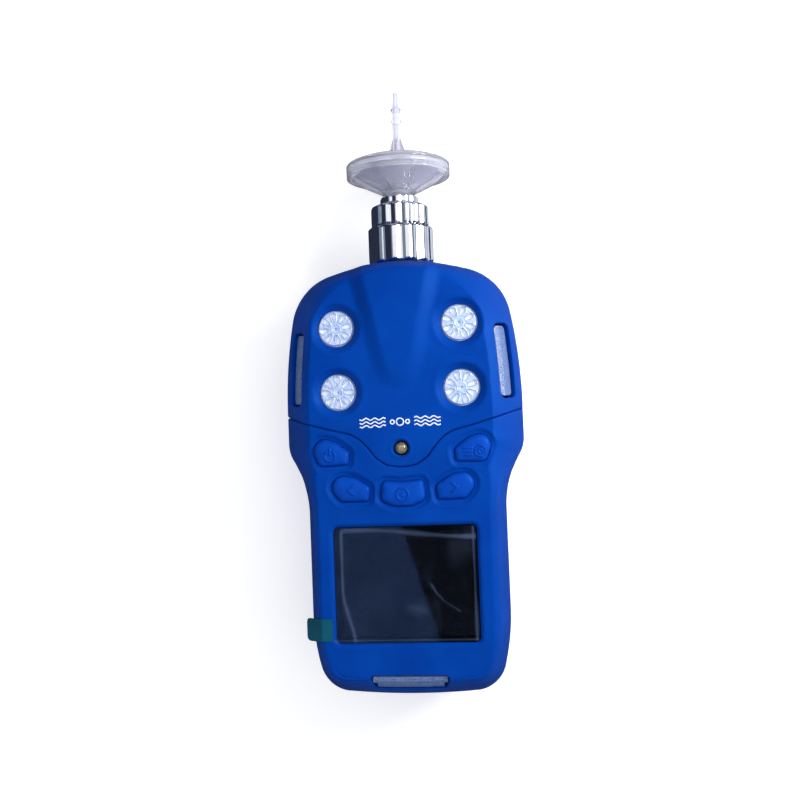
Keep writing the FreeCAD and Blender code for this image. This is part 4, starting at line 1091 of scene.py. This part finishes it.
mottled("tab_teal", srgb(0, 66, 86), srgb(3, 80, 100), (0.3, 0.45),
        (6.0, 3.0), (2.0, 3.0), (3.0, 2.0), 0.03, Specular_IOR_Level=0.25)
# Switched-off panel: near black with the polariser's dark blue tint, and a painted blue sheen in large
# random patches that stands in for light caught by the polariser
mottled("lcd_dark", srgb(3, 6, 16), srgb(10, 18, 36), (0.2, 0.35),
        (22.0, 2.0, 0.4), (0.6, 2.0), (0.2, 1.0), 0.004, Specular_IOR_Level=0.2)
mottled("cell_sleeve", (0.03, 0.26, 0.38), (0.06, 0.34, 0.46), (0.2, 0.4),
        (8.0, 3.0), (3.0, 3.0), (4.0, 2.0), 0.05, Coat_Weight=0.4, Coat_Roughness=0.1)
mottled("inlet_chrome", (0.80, 0.82, 0.86), (0.90, 0.91, 0.93), (0.03, 0.09),
        (5.0, 3.0), (2.5, 4.0), (3.5, 2.0), 0.006, Metallic=1.0)
mottled("filter_clear", srgb(232, 232, 246), srgb(243, 244, 252), (0.03, 0.08),
        (7.0, 3.0), (2.0, 3.0), (2.5, 2.0), 0.02, Transmission_Weight=0.77, IOR=1.46)
mottled("print_white", srgb(206, 218, 240), srgb(232, 239, 250), (0.4, 0.6),
        (0.6, 3.0), (0.4, 2.0), (0.3, 2.0), 0.01)
metal("motor_steel", (0.45, 0.45, 0.46), (0.62, 0.62, 0.62), 0.3, (1.0, 0.08, 1.0), 0.3)
metal("turned_brass", (0.55, 0.40, 0.16), (0.72, 0.55, 0.26), 0.25, (1.0, 6.0, 1.0), 0.5)
metal("clip_steel", (0.46, 0.46, 0.47), (0.62, 0.62, 0.63), 0.3, (1.0, 0.04, 1.0), 0.35)
metal("screw_steel", (0.40, 0.40, 0.42), (0.58, 0.58, 0.60), 0.32, (1.0, 1.0, 0.3), 0.25)
for make in (membrane_white, lamp_chip, film_clear, board_green, floor_white):
    make()


# Putting pieces in place
def paint(piece, name):
    piece.data.materials.clear()
    piece.data.materials.append(MATERIALS[name])


def stand_for(piece, *nodes):
    """The piece takes the body, the slot and the finish of the CAD nodes it stands for."""
    paint(piece, SLOT_OF[nodes[0]])
    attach(piece, BODY_OF[nodes[0]])
    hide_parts(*nodes)
    return piece


def go_with(piece, node, finish=None):
    """An extra piece that moves with a CAD node and shares its finish, unless it is given another."""
    paint(piece, finish or SLOT_OF[node])
    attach(piece, BODY_OF[node])
    return piece


def stand_for_field(name, field, node, voxel, below, above):
    """Piece meshed from a field in a CAD node's box, widened by a margin below and above."""
    low, high = node_box(node)
    stand_for(mesh_from_field(name, field, low - np.array(below), high + np.array(above), voxel), node)


def build_case():
    none = (0, 0, 0)
    relief = (0, 0, 1.0)
    stand_for_field("head_shell", head_field, "sensor_cover", SHELL_VOXEL, none, relief)
    stand_for_field("lower_shell", cover_field, "front_cover", SHELL_VOXEL, none, relief)
    stand_for_field("back_shell", rear_field, "rear_cover", REAR_VOXEL, none, none)
    go_with(airflow_mark(-12.9), "sensor_cover", "print_white")


def build_keys():
    for key in KEY_NAMES:
        stand_for_field(key + "_cap", key_field(key), key, FINE_VOXEL, (1.5, 1.5, 0.2), (1.5, 1.5, 1.0))


def build_grilles():
    turns = (0.15, 0.42, 0.0, 0.3)
    for number, ((x, y), turn) in enumerate(zip(SENSORS, turns), start=1):
        node = "sensor_grille_%d" % number
        stand_for_field(node + "_disc", grille_field(x, y, turn), node, 0.14, (0, 0, 0), (0, 0, 0.4))


def build_lights():
    for side, node in ((-1, "side_light_left"), (1, "side_light_right")):
        stand_for_field(node + "_window", side_light_field(side), node, 0.2, (1, 0.5, 1), (1, 0.5, 1))
    stand_for_field("bottom_light_window", bottom_light_field, "bottom_light", 0.18, (1, 1, 1), (1, 1, 1))


def build_status_lamp():
    """Domed lens on a flange, with a small cup inside."""
    low, high = node_box("status_led")
    r = 1.85
    seat = low[2] + 2.1
    crown = high[2] - 0.15
    dome = [(r * math.cos(a), crown - 1.2 + 1.2 * math.sin(a)) for a in np.linspace(0, math.pi / 2, 14)]
    dome[-1] = (0.0, dome[-1][1])
    lens = [(0.0, seat), (r + 0.2, seat), (r + 0.2, seat + 0.5), (r, seat + 0.5)]
    stand_for(lathe("status_lens_dome", lens + dome, STATUS_AT, "Z", 64), "status_led")
    cup = [(0.0, crown - 1.9), (0.75, crown - 1.9), (0.75, crown - 1.55), (0.45, crown - 1.4),
           (0.0, crown - 1.35)]
    go_with(lathe("status_lamp_chip", rounded(cup, 0.1, 3), STATUS_AT, "Z", 32), "status_led", "lamp_chip")


def build_screen():
    """Film over the window, and its pull tab: a clear root and a coloured end."""
    tab_root_x = -24.2
    mark_lift(stand_for(screen_film(), "screen_film"))
    stand_for(tab_strip("film_tab_end", TAB_LOW[0] + 0.9, tab_root_x, 1.3, 0.14), "film_tab")
    mark_lift(go_with(tab_strip("film_tab_root", tab_root_x, -21.6, 0.01, 0.08), "film_tab", "film_clear"))


def build_inlet():
    fluted_ring("inlet_nut", 5.1, 12, 0.8, 1.6, 0.12)
    fluted_ring("collet_ring", 5.1, 16, 0.8, 1.4)
    fluted_ring("filter_socket", 2.2, 12, 0.45, 1.2)


def build_filter():
    """Ribbed base with its plug, and cap with the stepped hose nozzle; profiles are (radius, y)."""
    low, high = node_box("filter_base")
    disc_r = high[0]
    tip = node_box("filter_cap")[1][1]
    axis = (0.0, INLET_Z)
    base = rounded([
        (0.7, low[1]), (1.95, low[1]), (1.95, 64.0), (4.9, 64.15), (5.6, 64.8), (15.2, 69.7), (16.4, 70.0),
        (disc_r, 70.4), (disc_r, 71.1), (disc_r - 0.35, 71.4), (disc_r, 71.7), (disc_r, 72.2), (15.9, 72.2),
        (15.5, 71.3), (5.8, 66.3), (4.5, 66.0), (4.1, 68.6), (3.2, 68.6), (2.9, 65.8), (0.9, 65.4),
    ], 0.3, 4)
    stand_for(lathe("filter_base_moulded", base, axis), "filter_base")
    rib = [(4.3, 65.9), (5.8, 66.0), (15.2, 70.9), (14.6, 71.3), (8.0, 68.9), (4.2, 68.2)]
    go_with(fins("filter_base_ribs", 8, rib, 0.8, 0.3), "filter_base")
    cap = rounded([
        (16.0, 72.3), (disc_r, 72.3), (disc_r, 73.4), (disc_r - 0.4, 73.65), (disc_r, 73.9), (disc_r, 74.5),
        (disc_r - 0.9, 75.2), (15.2, 75.5), (14.9, 75.9), (5.4, 76.2), (4.0, 76.9), (2.5, 79.4),
        (1.7, 82.4), (1.4, 83.4), (1.4, 89.2), (1.8, 89.5), (1.8, 90.3), (1.5, 90.6), (1.5, 93.4),
        (1.85, 93.6), (1.85, 94.2), (1.2, 94.5), (1.05, 96.0), (0.85, tip), (0.6, tip), (0.7, 90.0),
        (0.7, 80.0), (2.4, 76.0), (3.4, 75.4), (15.2, 74.7), (16.0, 74.2),
    ], 0.3, 4)
    stand_for(lathe("filter_cap_moulded", cap, axis), "filter_cap")
    gusset = [(1.4, 84.0), (2.0, 82.2), (4.2, 77.4), (6.6, 76.0), (3.0, 76.0), (1.4, 80.0)]
    go_with(fins("filter_cap_gussets", 6, gusset, 0.5, 0.5), "filter_cap")


def build_port_cover():
    margin = (0.4, 0.3, 0.4)
    stand_for_field("port_cover_flap", port_cover_field, "port_cover", 0.16, margin, margin)


ROUNDED_NODES = {"belt_clip": 0.35, "clip_bracket": 0.3, "clip_pin": 0.15, "clip_screws": 0.12,
                 "case_screws": 0.12, "inlet_washer": 0.12, "screen_window": 0.15, "inlet_spigot": 0.1,
                 "charge_socket": 0.06, "battery_cells": 0.3}


def finish_cad_nodes():
    """CAD nodes that stay get their procedural finish, and the ones that show get rounded edges."""
    for node, piece in frame["nodes"].items():
        paint(piece, SLOT_OF[node])
        if node in ROUNDED_NODES:
            edge = piece.modifiers.new("edges", "BEVEL")
            edge.width = ROUNDED_NODES[node] * MM
            edge.segments = 3
            edge.limit_method = "ANGLE"
            edge.angle_limit = math.radians(35)
            edge.harden_normals = False


# Floor, light and camera
COOL = (0.8, 0.87, 1.0)


def softbox(name, place, target, size, power, glossy=True, diffuse=True, colour=(1, 1, 1), turn=0):
    """Rectangular light. A glossy one shows in reflections, a diffuse one lights matt surfaces."""
    lamp = bpy.data.lights.new(name, "AREA")
    lamp.shape = "RECTANGLE"
    lamp.size = size[0] * MM
    lamp.size_y = size[1] * MM
    lamp.energy = power
    lamp.color = colour
    box = bpy.data.objects.new(name, lamp)
    bpy.context.scene.collection.objects.link(box)
    box.visible_glossy = glossy
    box.visible_diffuse = diffuse
    box.location = Vector(place) * MM
    box.rotation_euler = (Vector(target) - Vector(place)).to_track_quat("-Z", "Y").to_euler()
    box.rotation_euler.rotate_axis("Z", math.radians(turn))


def build_stage():
    bpy.ops.mesh.primitive_grid_add(x_subdivisions=8, y_subdivisions=8, size=6.0, location=(0, 0, -0.0005))
    floor = bpy.context.object
    floor.name = "floor"
    paint(floor, "floor_white")
    floor.visible_glossy = False


def build_lamps():
    """Two lamps that light the object, and cards that only show in its reflections."""
    middle = (0, -10, 25)
    softbox("key_light", (190, 60, 165), middle, (130, 130), 0.65)
    softbox("fill_light", (60, 0, 900), middle, (1500, 1500), 10.8, glossy=False)
    softbox("left_card", (-226, -184, 620), (-226, -184, 0), (330, 420), 0.42, diffuse=False,
            colour=(0.17, 0.36, 1.0), turn=17)
    softbox("low_card", (350, 150, -200), (20, 55, 25), (230, 380), 0.22, diffuse=False, colour=COOL)
    for side, name in ((-1, "left_wall_card"), (1, "right_wall_card")):
        softbox(name, (side * 620, -420, 260), (0, 40, 25), (500, 300), 0.35, diffuse=False, colour=COOL)
    softbox("ceiling_card", (225, 250, 620), (225, 250, 0), (850, 210), 0.56, diffuse=False)
    softbox("right_card", (600, 200, 330), (0, 50, 100), (230, 560), 0.36, diffuse=False,
            colour=(0.85, 0.9, 1.0))
    softbox("sky_card", (-320, 250, 620), (-320, 250, 0), (380, 210), 0.07, diffuse=False,
            colour=(0.65, 0.78, 1.0))


def build_world():
    """Dim blue surroundings for the reflections, behind a pale backdrop that only the camera sees."""
    world = bpy.data.worlds.new("studio")
    bpy.context.scene.world = world
    world.use_nodes = True
    tree = world.node_tree
    seen = tree.nodes.new("ShaderNodeLightPath").outputs["Is Camera Ray"]
    shade = tree.nodes.new("ShaderNodeMix")
    shade.data_type = "RGBA"
    shade.inputs["A"].default_value = (0.024, 0.03, 0.054, 1)
    shade.inputs["B"].default_value = (0.9, 0.9, 0.91, 1)
    tree.links.new(seen, shade.inputs["Factor"])
    tree.links.new(shade.outputs["Result"], tree.nodes["Background"].inputs["Color"])


def build_camera():
    """Camera high above the front, a little to the right, with its axes as rows."""
    data = bpy.data.cameras.new("camera")
    camera = bpy.data.objects.new("camera", data)
    bpy.context.scene.collection.objects.link(camera)
    data.sensor_width = 36.0
    data.lens = 45.30
    data.clip_start = 0.01
    data.clip_end = 20.0
    right = Vector((0.99027, -0.03873, -0.13365))
    up = Vector((0.04322, 0.99859, 0.03087))
    back = Vector((0.13227, -0.03635, 0.99055))
    turn = Matrix((right, up, back)).transposed().to_4x4()
    camera.matrix_world = Matrix.Translation(Vector((42.767, -17.651, 362.859)) * MM) @ turn
    bpy.context.scene.camera = camera


finish_cad_nodes()
build_case()
build_keys()
build_grilles()
build_lights()
build_status_lamp()
build_screen()
build_inlet()
build_filter()
build_port_cover()
build_stage()
build_lamps()
build_world()
build_camera()
bpy.context.scene.view_settings.view_transform = "Standard"
bpy.context.scene.view_settings.look = "None"

bpy.context.view_layer.update()
